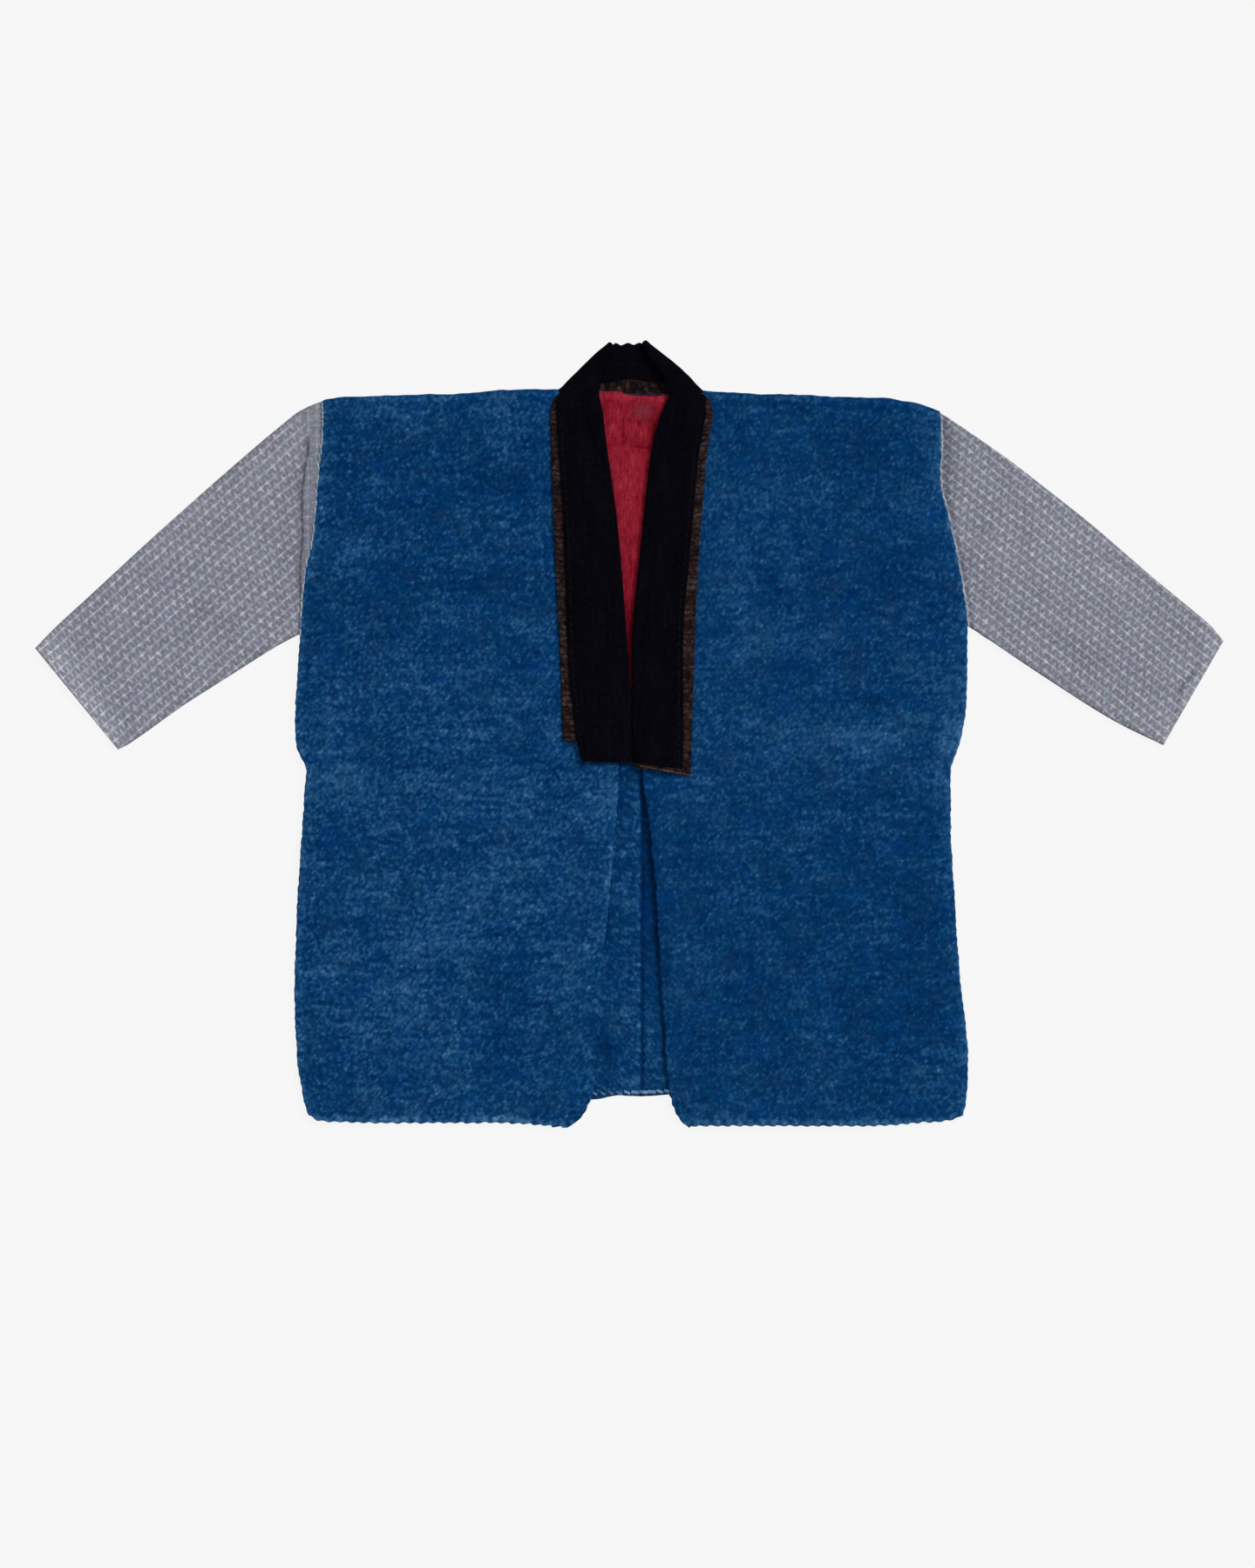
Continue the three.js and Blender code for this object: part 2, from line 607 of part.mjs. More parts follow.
function neckLining() {
  const skin = (z) => (i, j) => [
    lerp(lining.lowX, lining.highX, i / lining.columns),
    lerp(lining.lowY, lining.highY, j / lining.rows),
    z,
  ];
  return clothWall({
    columns: lining.columns,
    rows: lining.rows,
    outside: skin(liningBase + liningWall),
    inside: skin(liningBase),
  });
}

const indigoQuilt = new THREE.MeshStandardMaterial({ color: 0x0a3564, roughness: 0.95, metalness: 0 });
const greyCheck = new THREE.MeshStandardMaterial({ color: 0x83848f, roughness: 0.9, metalness: 0 });
const brownCotton = new THREE.MeshStandardMaterial({ color: 0x4a3019, roughness: 0.95, metalness: 0 });
const blackNap = new THREE.MeshStandardMaterial({ color: 0x08060d, roughness: 1, metalness: 0 });
const crimsonCotton = new THREE.MeshStandardMaterial({ color: 0x961c2d, roughness: 0.9, metalness: 0 });

function piece(name, geometry, material) {
  const mesh = new THREE.Mesh(geometry, material);
  mesh.name = name;
  return mesh;
}

// The under-collar starts above the cover's right end, and the cover stops short of its left end
const stations = collarStations();
const coat = new THREE.Group();
coat.add(
  piece('body_right', bodyHalf(rightHalf), indigoQuilt),
  piece('body_left', bodyHalf(leftHalf), indigoQuilt),
  piece('sleeve_right', sleeve(rightSleeve), greyCheck),
  piece('sleeve_left', sleeve(leftSleeve), greyCheck),
  piece('neck_lining', neckLining(), crimsonCotton),
  piece('under_collar', underCollar(stations.slice(stationsPerRow)), brownCotton),
  piece('collar_cover', collarCover(stations.slice(0, -stationsPerRow)), blackNap),
);

export default coat;
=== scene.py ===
import math
import bpy
import numpy as np
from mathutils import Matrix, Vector


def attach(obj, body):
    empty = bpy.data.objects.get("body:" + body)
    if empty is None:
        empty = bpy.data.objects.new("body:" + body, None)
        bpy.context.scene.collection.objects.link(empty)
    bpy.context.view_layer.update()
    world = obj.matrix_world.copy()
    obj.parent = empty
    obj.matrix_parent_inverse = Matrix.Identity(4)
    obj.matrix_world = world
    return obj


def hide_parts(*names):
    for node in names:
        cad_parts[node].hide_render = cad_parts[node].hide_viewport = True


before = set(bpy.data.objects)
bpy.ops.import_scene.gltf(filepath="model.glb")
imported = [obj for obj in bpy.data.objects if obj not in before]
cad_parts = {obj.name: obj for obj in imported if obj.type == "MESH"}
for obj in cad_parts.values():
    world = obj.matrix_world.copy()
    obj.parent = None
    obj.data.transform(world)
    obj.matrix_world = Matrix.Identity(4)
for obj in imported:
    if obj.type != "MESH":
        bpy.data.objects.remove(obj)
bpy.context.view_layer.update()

# A quilted work coat laid flat, front up. Tables and sizes are in millimetres, meshes in metres.
# X runs to the right of the picture, Y towards the collar, Z up. "Right" is the wearer's right, at -X.
mm = 0.001
print("frame loaded", len(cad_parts), "nodes")


# Numbers to shapes

def lerp(a, b, t):
    return a + (b - a) * t


def smooth(low, high, value):
    t = np.clip((value - low) / (high - low), 0, 1)
    return t * t * (3 - 2 * t)


def bell(value, width):  # 1 at nought, almost gone at twice the width
    return np.exp(-(value / width) ** 2)


def wave(place, pitch):  # 1 to -1 and back for each pitch
    return np.cos(2 * math.pi * place / pitch)


def curveThrough(pairs):  # a curve through (from, to) pairs, without overshoot
    x = np.array([p[0] for p in pairs], float)
    y = np.array([p[1] for p in pairs], float)
    slope = np.diff(y) / np.diff(x)
    tangent = np.empty(len(x))
    tangent[0], tangent[-1] = slope[0], slope[-1]
    before, after = slope[:-1], slope[1:]
    bothWays = before * after > 0
    safe = np.where(bothWays, before + after, 1)
    tangent[1:-1] = np.where(bothWays, 2 * before * after / safe, 0)

    def at(value):
        value = np.clip(value, x[0], x[-1])
        n = np.clip(np.searchsorted(x, value, side="right") - 1, 0, len(x) - 2)
        span = x[n + 1] - x[n]
        t = (value - x[n]) / span
        rise = y[n + 1] - y[n]
        bend = span * ((1 - t) * tangent[n] - t * tangent[n + 1]) + (2 * t - 1) * rise
        return y[n] + t * rise + t * (1 - t) * bend
    return at


def ripple(x, y, size, seed):  # soft uneven waves from -1 to 1, about size across
    cells = 61  # after so many, the waves repeat
    grid = np.random.default_rng(seed).uniform(-1, 1, (cells, cells))
    u, v = np.asarray(x) / size, np.asarray(y) / size
    i, j = np.floor(u).astype(int), np.floor(v).astype(int)
    s, t = smooth(0, 1, u - i), smooth(0, 1, v - j)

    def row(n):
        return lerp(grid[i % cells, n % cells], grid[(i + 1) % cells, n % cells], s)
    return lerp(row(j), row(j + 1), t)


def roundedBy(distance, radius):  # how far a rounded edge has fallen at a distance from the edge
    deepest = 0.9  # of the radius, at the edge itself
    near = 1 - np.clip(distance / radius, 0, 1)
    return radius * (1 - np.sqrt(np.clip(1 - near * near, 0, 1))) * deepest


def steps(count, lip=(0.0, 0.001, 0.0025, 0.0045), ends="both"):  # 0 to 1, closer near the ends
    lip = np.array(lip)
    if ends == "far":
        return np.concatenate([np.linspace(0, 1 - lip[-1], count)[:-1], 1 - lip[::-1]])
    return np.concatenate([lip[:-1], np.linspace(lip[-1], 1 - lip[-1], count), 1 - lip[::-1][1:]])


def addObject(name, data):
    made = bpy.data.objects.new(name, data)
    bpy.context.scene.collection.objects.link(made)
    return made


def clothShell(name, outer, inner, maps, marks=None, present=None, roundway=False):
    # a closed wall between two grids of points; maps are its UV maps and marks its point attributes
    rows, columns = outer.shape[0] - 1, outer.shape[1] - (0 if roundway else 1)
    if present is None:
        present = np.ones((rows, columns), bool)
    count = outer.shape[0] * outer.shape[1]
    index = np.arange(count).reshape(outer.shape[:2])
    if roundway:
        index = np.concatenate([index, index[:, :1]], axis=1)
    a, b = index[:-1, :-1], index[:-1, 1:]
    c, d = index[1:, 1:], index[1:, :-1]
    quads = [np.stack([a, b, c, d], -1)[present], np.stack([d, c, b, a], -1)[present] + count]
    padded = np.zeros((rows + 2, columns + 2), bool)
    padded[1:-1, 1:-1] = present
    if roundway:
        padded[:, 0], padded[:, -1] = padded[:, -2], padded[:, 1]
    for row, column, p, q in ((0, 1, a, b), (1, 2, b, c), (2, 1, c, d), (1, 0, d, a)):
        beside = padded[row:row + rows, column:column + columns]
        bare = present & ~beside
        quads.append(np.stack([q, p, p + count, q + count], -1)[bare])
    faces = np.concatenate(quads)
    points = np.concatenate([outer.reshape(-1, 3), inner.reshape(-1, 3)]) * mm
    used, faces = np.unique(faces, return_inverse=True)
    faces = faces.reshape(-1, 4)
    corners = points[used][faces]
    volume = 0
    for n in (1, 2):
        volume += (corners[:, 0] * np.cross(corners[:, n], corners[:, n + 1])).sum()
    if volume < 0:  # inside out
        faces = faces[:, ::-1]
    mesh = bpy.data.meshes.new(name)
    mesh.from_pydata(points[used].tolist(), [], faces.tolist())
    loops = np.empty(len(mesh.loops), np.int64)
    mesh.loops.foreach_get("vertex_index", loops)
    for mapName, values in maps.items():
        flat = np.concatenate([values.reshape(-1, 2)] * 2)[used][loops] * mm
        mesh.uv_layers.new(name=mapName).data.foreach_set("uv", flat.ravel())
    for markName, values in (marks or {}).items():
        flat = np.concatenate([values.ravel()] * 2)[used]
        mesh.attributes.new(markName, "FLOAT", "POINT").data.foreach_set("value", flat)
    mesh.polygons.foreach_set("use_smooth", np.ones(len(mesh.polygons), bool))
    mesh.update()
    print(name, 2 * len(mesh.polygons), "triangles")
    return addObject(name, mesh)


# Nodes

def addNode(tree, kind, settings=None, values=None):  # values are numbers, or sockets to link
    made = tree.nodes.new(kind)
    for key, value in (settings or {}).items():
        setattr(made, key, value)
    for key, value in (values or {}).items():
        if isinstance(value, bpy.types.NodeSocket):
            tree.links.new(value, made.inputs[key])
        else:
            made.inputs[key].default_value = value
    return made


class Value:  # wraps a socket, so that shader maths reads as Python
    def __init__(self, finish, socket):
        self.finish = finish
        self.socket = socket

    def math(self, operation, *others):
        values = dict(enumerate((self,) + others))
        return self.finish.node("ShaderNodeMath", {"operation": operation}, values)

    def __add__(self, other):
        return self.math("ADD", other)

    def __sub__(self, other):
        return self.math("SUBTRACT", other)

    def __rsub__(self, other):
        return self.finish.node("ShaderNodeMath", {"operation": "SUBTRACT"}, {0: other, 1: self})

    def __mul__(self, other):
        return self.math("MULTIPLY", other)

    def __truediv__(self, other):
        return self.math("DIVIDE", other)

    def __pow__(self, other):
        return self.math("POWER", other)

    def __abs__(self):
        return self.math("ABSOLUTE")

    __radd__ = __add__
    __rmul__ = __mul__

    def wave(self):  # 0 to 1 and back for each unit
        return self.math("MULTIPLY", 2 * math.pi).math("COSINE") * 0.5 + 0.5

    def between(self, low, high):  # smooth 0 to 1
        return self.finish.node("ShaderNodeMapRange", {"interpolation_type": "SMOOTHSTEP"},
                                {0: self, 1: low, 2: high, 3: 0.0, 4: 1.0})


class Finish:  # a material under construction
    def __init__(self, name):
        self.material = bpy.data.materials.new(name)
        self.material.use_nodes = True
        self.tree = self.material.node_tree
        self.tree.nodes.clear()

    def node(self, kind, settings=None, values=None, output=0):
        values = {key: getattr(value, "socket", value) for key, value in (values or {}).items()}
        made = addNode(self.tree, kind, settings, values)
        return Value(self, made.outputs[output])

    def mix(self, factor, a, b, blend="MIX"):
        kind = {"data_type": "RGBA", "blend_type": blend, "clamp_result": True}
        return self.node("ShaderNodeMix", kind, {0: factor, 6: a, 7: b}, 2)

    def mixVector(self, factor, a, b):
        return self.node("ShaderNodeMix", {"data_type": "VECTOR"}, {0: factor, 4: a, 5: b}, 1)

    def uvMap(self, name):  # in millimetres
        flat = self.node("ShaderNodeUVMap", {"uv_map": name})
        return self.node("ShaderNodeVectorMath", {"operation": "SCALE"}, {0: flat, "Scale": 1000.0})

    def split(self, vector):
        apart = self.node("ShaderNodeSeparateXYZ", {}, {0: vector})
        outputs = apart.socket.node.outputs
        return Value(self, outputs[0]), Value(self, outputs[1])

    def join(self, x, y):
        return self.node("ShaderNodeCombineXYZ", {}, {0: x, 1: y})

    def mark(self, name):
        return self.node("ShaderNodeAttribute", {"attribute_name": name}, {}, 2)

    def length(self, vector):
        return self.node("ShaderNodeVectorMath", {"operation": "LENGTH"}, {0: vector}, 1)

    def placed(self, vector, size, stretch, shift, turn):  # a pattern's own place, size and turn
        return self.node("ShaderNodeMapping", {"vector_type": "TEXTURE"}, {
            "Vector": vector, "Location": (shift * 31, shift * 17, 0),
            "Rotation": (0, 0, math.radians(turn)), "Scale": (size * stretch[0], size * stretch[1], 1)})

    def noise(self, vector, size, stretch=(1, 1), detail=2.0, rough=0.5, shift=0.0, turn=0.0):
        at = self.placed(vector, size, stretch, shift, turn)
        return self.node("ShaderNodeTexNoise", {"noise_dimensions": "2D"},
                         {"Vector": at, "Scale": 1.0, "Detail": detail, "Roughness": rough})

    def spots(self, vector, size, stretch=(1, 1), shift=0.0, turn=0.0):  # dots, each of its own strength
        at = self.placed(vector, size, stretch, shift, turn)
        distance = self.node("ShaderNodeTexVoronoi", {"voronoi_dimensions": "2D"},
                             {"Vector": at, "Scale": 1.0, "Randomness": 0.9})
        strength = self.split(Value(self, distance.socket.node.outputs["Color"]))[0]
        return (1 - distance.between(0.05, 0.7)) * strength

    def ramp(self, value, stops):
        made = self.node("ShaderNodeValToRGB", {}, {0: value})
        marks = made.socket.node.color_ramp.elements
        marks[0].position, marks[1].position = stops[0][0], stops[-1][0]
        for stop in stops[1:-1]:
            marks.new(stop[0])
        for mark, (place, tint) in zip(marks, stops):
            mark.color = colour(*tint)
        return made

    def finished(self, tint, height, look):
        relief = {"Strength": 1.0, "Distance": look["relief"] * mm, "Height": height}
        bump = self.node("ShaderNodeBump", {}, relief)
        shader = self.node("ShaderNodeBsdfPrincipled", {}, {
            "Base Color": tint, "Roughness": look["roughness"], "Normal": bump,
            "Specular IOR Level": look["specular"]})
        addNode(self.tree, "ShaderNodeOutputMaterial", {}, {"Surface": shader.socket})
        return self.material


def colour(red, green, blue):  # from 0 to 255 as a screen shows it
    def linear(c):
        c = c / 255
        return c / 12.92 if c <= 0.04045 else ((c + 0.055) / 1.055) ** 2.4
    return (linear(red), linear(green), linear(blue), 1.0)


# Body halves

cloth = {
    "gap": 0.3, "quilt": 3.0, "sleeve": 1.3, "lining": 1.0,  # thicknesses
    "liningBase": 3.3, "frontTop": 7.8,  # heights
    "sideDrop": 1.5, "edgeDrop": 24.0,  # how far edges sink, and over what width
    "neckline": 352.2, "seam": 13.5, "bandBottom": -40.0, "shoulderSide": 340.0,
    "neckColumns": 34, "neckReach": 3.6, "neckFrom": (338, 349), "neckAbove": 345,
    "frontZero": 1100.0, "frontStart": 745.0,  # length along the cloth at the front's Y 0 and at the fold
    "farOff": 30.0,  # stands for the distance to an edge where there is none near
}
backHem = [(-345, -374), (-60, -375), (-36, -377), (-27, -376.4), (-6, -372.8), (17, -373.6), (38, -371.8),
           (345, -374)]
# how far from the middle the collar covers the fronts, going up
bandCover = [(-60, 60), (-27, 66), (100, 71), (200, 76), (290, 80), (325, 83), (345, 76), (360, 70)]

bodyGrid = {"panel": 128, "back": 86, "fold": 12, "front": 240}  # steps
quilting = {
    "rowPitch": 16.5, "rowHeight": 0.4, "columnPitch": 12.4, "columnHeight": 0.2,
    "nubSize": 5.4, "nubHeight": 0.4, "puffSize": 11.5, "puffHeight": 0.5,
    "waveSize": 74.0, "waveHeight": 0.5, "scallopPitch": 11.5, "scallopDepth": 1.4, "edgeRipple": 0.5,
    "sidePitch": 9.6, "sideDepth": 0.35, "lumpPitch": 9.2, "hemRound": 1.5, "frontRound": 1.6,
    "seamPull": 0.9, "seamWidth": 3.5, "hemRoll": 0.5,
    "insideDepth": 0.8, "insideShare": 0.75, "outsideShare": 0.3,  # the back's relief on either side
}

# creases: middle, length, slope, width, height
# tones are soft patches of lighter or darker cloth, some of them painted shade and light along creases and
# in the opening between the fronts: middle, half sizes, turn in degrees, strength
rightBody = {
    "name": "body_right_cloth", "seed": 11, "neckCut": -73.8,
    "edgeCurl": 0.3, "insideShade": 1.3, "lively": 0.95, "edgeWave": 0.8,
    "shoulder": [(-315.9, 346.5), (-289.8, 349.2), (-208, 351.4), (-184, 352), (-141, 355.4),
                 (-99, 357), (-69.3, 357.2)],
    "side": [(-392.4, -332.1), (-375.3, -336.6), (-334.8, -342.9), (-267.3, -345.6), (-172.8, -342.9),
             (-118.8, -339.3), (-51.3, -334.8), (-37.8, -333.9), (-10.8, -343.8), (10, -345.2),
             (97.2, -340.2), (161.1, -335.4), (177.3, -332.4), (198.9, -327.4), (213.3, -325.2),
             (225.9, -324.2), (271.8, -320.6), (315, -316.2), (346.5, -315.9)],
    "frontEdge": [(-406, -64.8), (-400.5, -55.8), (-388.8, -45), (-366.3, -36.9), (-312.3, -33.3),
                  (-222.3, -26.1), (-141.3, -18), (-33.3, -10.8), (20, -26), (100, -46), (200, -62),
                  (300, -72), (353, -73.8)],
    "frontHem": [(-332.1, -392.4), (-322, -398.2), (-307.8, -399.6), (-262.8, -401), (-150, -400.8),
                 (-109.8, -402.3), (-64.8, -406)],
    "creases": [
        (-197, -51, 230, 0.0, 17, 1.2), (-164, -200, 190, 0.9, 26, 0.7), (-205, 262, 180, -0.1, 20, -0.5),
        (-200, -68, 250, 0.02, 5, -0.7), (-225, -337, 120, -0.12, 6, 0.6),
    ],
    "tones": [
        (-227, 343, 130, 11, 0, 0.9), (-215, 322, 120, 9, 0, 0.3), (-275, 288, 62, 15, 0, -0.9),
        (-130, 258, 62, 26, 0, -0.8), (-205, 262, 40, 20, 0, -0.5), (-279, 197, 14, 12, 0, 0.8),
        (-150, 156, 70, 14, -8, -1.2), (-205, 143, 26, 16, 0, -0.6), (-240, 215, 90, 30, 0, -0.3),
        (-232, 35, 100, 50, 0, 0.2), (-222, -50, 92, 17, 0, 1.3), (-312, -55, 20, 26, 0, 0.5),
        (-195, -72, 100, 4, 0, -0.6), (-31, -62, 22, 24, 0, 1.0), (-200, -215, 120, 25, 55, 0.8),
        (-240, -310, 46, 34, 0, 0.4), (-200, -230, 140, 150, 0, 0.3), (-128, -300, 22, 46, 0, -0.7),
        (-60, -190, 24, 90, 8, 0.3), (-29, -320, 8, 24, 0, -1.0), (-18, -120, 8, 60, 0, 0.7),
    ],
}

leftBody = {
    "name": "body_left_cloth", "seed": 23, "neckCut": 79.2,
    "edgeCurl": 1.6, "insideShade": 0.6, "lively": 0.82, "edgeWave": 1.2,
    "shoulder": [(74.7, 355.8), (95, 354.6), (108.9, 353.4), (218.7, 349.4), (263.7, 347.8),
                 (286.2, 344.6), (305.1, 340.2), (320.4, 333.9)],
    "side": [(-393.3, 344.7), (-375.3, 348.3), (-334.8, 350.1), (-253.8, 342), (-159.3, 335.7),
             (-91.8, 332.1), (-37.8, 332.1), (-10.8, 341.1), (16.2, 346.5), (56.7, 349.2), (112.5, 349.2),
             (161.1, 342.9), (198.9, 335.6), (228, 328.8), (242, 325), (256, 321.8),
             (278, 321.4), (300, 322.4), (321, 322.2), (333.9, 320.6)],
    "frontEdge": [(-406, 61.2), (-401.4, 55.8), (-393.3, 49.5), (-368.1, 41.4), (-321.3, 36.9),
                  (-249.3, 32.4), (-159.3, 27), (-96.3, 20.7), (-33.3, 13.5), (20, 30), (100, 50),
                  (200, 66), (300, 77), (351, 79.2)],
    "frontHem": [(61.2, -406), (70.2, -404.1), (250.2, -404.1), (295.2, -401), (330, -398.6),
                 (344.7, -393.3)],
    "creases": [
        (241, 12, 200, 0.05, 19, 1.2), (282, 165, 70, 0.6, 30, -0.6), (180, -150, 150, -0.5, 28, 0.6),
        (245, 34, 210, 0.05, 5, -0.6),
    ],
    "tones": [
        (216, 312, 56, 26, 0, -0.8), (252, 282, 46, 14, 0, -0.8), (100, 318, 26, 30, 0, -0.4),
        (165, 245, 70, 17, 0, 0.35), (142, 164, 14, 22, 0, -1.2), (284, 158, 52, 24, 30, -1.1),
        (215, 150, 30, 40, 0, -0.3), (100, 150, 22, 70, 0, -0.2), (115, 95, 34, 60, 0, 0.4),
        (160, 70, 24, 9, 0, -0.8), (235, 36, 90, 6, 0, -0.8), (205, -8, 66, 18, 0, 1.0),
        (262, -2, 40, 16, 0, 0.7), (170, -42, 60, 16, 0, 0.3), (333, 4, 14, 32, 0, 1.6),
        (205, -215, 150, 130, 0, -0.5), (268, -280, 30, 26, 0, -0.4), (110, -345, 44, 24, 0, -0.5),
        (305, -160, 20, 60, 0, -0.4), (84, -83, 15, 20, 0, 0.4), (20, -150, 10, 92, 4, -2.3),
        (28, -320, 14, 26, 0, 0.5),
    ],
}


def creaseLift(creases, x, y):
    lift = np.zeros(np.shape(x))
    for centreX, centreY, length, slope, width, height in creases:
        along = np.abs(x - centreX) / (length / 2)
        across = np.abs(y - centreY - (x - centreX) * slope) / width
        lift += height * (1 - smooth(0.5, 1.15, along)) * (1 - smooth(0, 1, across))
    return lift


def toneAt(tones, x, y):
    tone = np.zeros(np.shape(x))
    for centreX, centreY, halfWide, halfHigh, turn, strength in tones:
        cos, sin = math.cos(math.radians(turn)), math.sin(math.radians(turn))
        along = ((x - centreX) * cos + (y - centreY) * sin) / halfWide
        across = ((y - centreY) * cos - (x - centreX) * sin) / halfHigh
        tone += strength * np.exp(-(along ** 4 + across ** 4) ** 0.5 * 0.9)
    return tone


def quiltRelief(x, y, seed):  # 0 to about 1.5 mm: rows of stitching with small nubs between them
    bend = 5 * ripple(x, y, 60, seed) + 2.2 * ripple(x, y, 19, seed + 1)
    rows = 0.5 + 0.5 * wave(y + bend, quilting["rowPitch"])
    bend = 4 * ripple(x, y, 47, seed + 2)
    columns = 0.5 + 0.5 * wave(x + bend, quilting["columnPitch"])
    strength = 0.55 + 0.45 * ripple(x, y, 55, seed + 3)
    nubs = 0.5 + 0.5 * ripple(x, y * 0.8, quilting["nubSize"], seed + 4)
    puffs = 0.5 + 0.5 * ripple(x, y, quilting["puffSize"], seed + 5)
    return (quilting["rowHeight"] * rows * strength + quilting["columnHeight"] * columns * strength
            + quilting["nubHeight"] * nubs + quilting["puffHeight"] * puffs)


def sideLine(half):  # the side of a body half, a little wavy
    smoothSide = curveThrough(half["side"])

    def at(y):
        scallop = quilting["sideDepth"] * wave(y, quilting["sidePitch"])
        return smoothSide(y) + quilting["edgeRipple"] * ripple(y, half["seed"], 8.5, 77) + scallop
    return at


def bodyHalf(half):
    sideX, edgeX = sideLine(half), curveThrough(half["frontEdge"])
    hemY, shoulderY = curveThrough(half["frontHem"]), curveThrough(half["shoulder"])
    cornerX, hemEndX = half["side"][0][1], half["frontEdge"][0][1]  # the ends of the front hem
    shoulderX = sideX(cloth["shoulderSide"])
    toNeck = 1 if half["neckCut"] < 0 else -1
    seed = half["seed"]
    # columns of points run across the half, and on the back past the neck to the seam in the middle
    panel = steps(bodyGrid["panel"])
    across = np.concatenate([panel, np.ones(cloth["neckColumns"])])
    past = np.concatenate([np.zeros(len(panel)), steps(cloth["neckColumns"] - 2, ends="far")[1:]])

    def sinking(distance):
        return 1 - smooth(0, cloth["edgeDrop"], distance)

    def neckCut(y):  # reaches in under the collar at the shoulder
        return half["neckCut"] + toNeck * cloth["neckReach"] * smooth(*cloth["neckFrom"], y)

    x0 = lerp(shoulderX, neckCut(cloth["neckline"]), across)
    radius = (cloth["frontTop"] - cloth["sideDrop"] * sinking(np.abs(x0 - shoulderX))) / 2
    foldY = shoulderY(x0) - radius + quilting["edgeRipple"] * ripple(x0, seed, 11, 78)
    hemX = lerp(cornerX, hemEndX, across)
    scallop = wave(hemX, quilting["scallopPitch"]) + 0.6 * ripple(hemX, seed, 9, 79)
    lowY = hemY(hemX) - 0.5 * quilting["scallopDepth"] * scallop * (across > 0.01) * (across < 0.99)

    # back, from its hem up to the shoulder or the neckline
    j = steps(bodyGrid["back"], lip=(0.0, 0.0008, 0.002))[:, None]
    topY = np.where(past > 0, cloth["neckline"], foldY)
    backLowX = lerp(hemX, cloth["seam"], past)
    backLow = curveThrough(backHem)(backLowX) + 0.5 * ripple(backLowX, seed, 9, 80)
    backY = lerp(backLow, topY, j)
    toSeam = lerp(sideX(backY), neckCut(backY), across)
    backX = lerp(toSeam, cloth["seam"], past)
    fromSide = np.abs(backX - sideX(backY))
    fromHem = backY - backLow
    fromSeam = np.abs(backX - cloth["seam"])
    edgeFall = roundedBy(fromSide, quilting["hemRound"]) + roundedBy(fromHem, quilting["hemRound"])
    inField = smooth(0, 5, fromSide) * smooth(0, 5, fromHem)
    relief = quiltRelief(backX, backY, seed + 40) * inField
    seamPull = quilting["seamPull"] * bell(fromSeam, quilting["seamWidth"])
    hemRoll = quilting["hemRoll"] * (bell(fromHem - 4.5, 3) - bell(fromHem - 11, 2.2))
    backInside = cloth["quilt"] - quilting["insideDepth"] - np.minimum(edgeFall, 2.2) - seamPull + hemRoll
    backInside += quilting["insideShare"] * relief
    backInner = np.dstack([backX, backY, np.minimum(backInside, cloth["quilt"] + 0.15)])
    backOuter = np.dstack([backX, backY, edgeFall + quilting["outsideShare"] * relief])

    # the fold along the shoulder
    turn = (math.pi * np.arange(1, bodyGrid["fold"]) / bodyGrid["fold"])[:, None]
    foldX = lerp(sideX(foldY), neckCut(foldY), across) + 0 * turn

    def folded(reach):
        return np.dstack([foldX, foldY + reach * np.sin(turn), radius - reach * np.cos(turn)])
    overFold = 12 * turn
    lumps = ripple(foldX, overFold, 6, seed + 7) + ripple(foldX, overFold, 13, seed + 8)
    lumps = 0.35 * lumps * np.sin(turn)
    foldOuter, foldInner = folded(radius + lumps), folded(radius - cloth["quilt"])

    # front, from the shoulder down to its hem
    k = steps(bodyGrid["front"], lip=(0.0, 0.0004, 0.001, 0.002), ends="far")[:, None]
    frontY = lerp(foldY, lowY, k)
    low = sideX(frontY)
    lumps = wave(frontY + 3 * ripple(frontY, seed, 30, 83), quilting["lumpPitch"])
    lumps *= smooth(-30, -60, frontY)
    rippled = edgeX(frontY) + half["edgeWave"] * (ripple(frontY, seed, 6.5, 81) + 0.6 * lumps)
    high = np.where(frontY > cloth["neckAbove"], neckCut(frontY), rippled)
    frontX = lerp(low, high, across)
    width = np.abs(high - low)
    fromSide = across * width
    fromEdge = (1 - across) * width
    fromHem = frontY - lowY
    fromFold = foldY - frontY
    belowBand = 1 - smooth(cloth["bandBottom"] - 20, cloth["bandBottom"], frontY)
    drop = cloth["sideDrop"] * np.maximum(sinking(fromSide), sinking(fromEdge) * belowBand)
    curl = half["edgeCurl"] * (1 - smooth(2, 30, fromEdge)) * belowBand * smooth(-380, -330, frontY)
    curl *= 0.5 + 0.5 * smooth(-260, -160, frontY) + 0.3 * ripple(frontY, seed, 14, 82)
    underBand = smooth(-2, 3, curveThrough(bandCover)(frontY) - np.abs(frontX)) * smooth(-50, -42, frontY)
    edges = np.minimum(np.minimum(fromSide, fromEdge), fromHem)
    fallen = roundedBy(edges, quilting["frontRound"])
    inField = (1 - underBand) * smooth(0, 10, fromFold) * (0.3 + 0.7 * smooth(1, 8, edges))
    waves = quilting["waveHeight"] * ripple(frontX, frontY, quilting["waveSize"], seed + 9)
    waves += creaseLift(half["creases"], frontX, frontY)
    waves *= (1 - underBand) * smooth(0, 30, fromSide)
    waves *= smooth(0, 40, fromFold) * smooth(0, 20, fromEdge) * smooth(0, 20, fromHem)
    top = cloth["frontTop"] - drop + waves + curl
    relief = (quiltRelief(frontX, frontY, seed) - 0.5) * inField
    frontOuter = np.dstack([frontX, frontY, top + relief - fallen])
    frontInner = np.dstack([frontX, frontY, top - cloth["quilt"] + np.minimum(fallen, 1.3)])

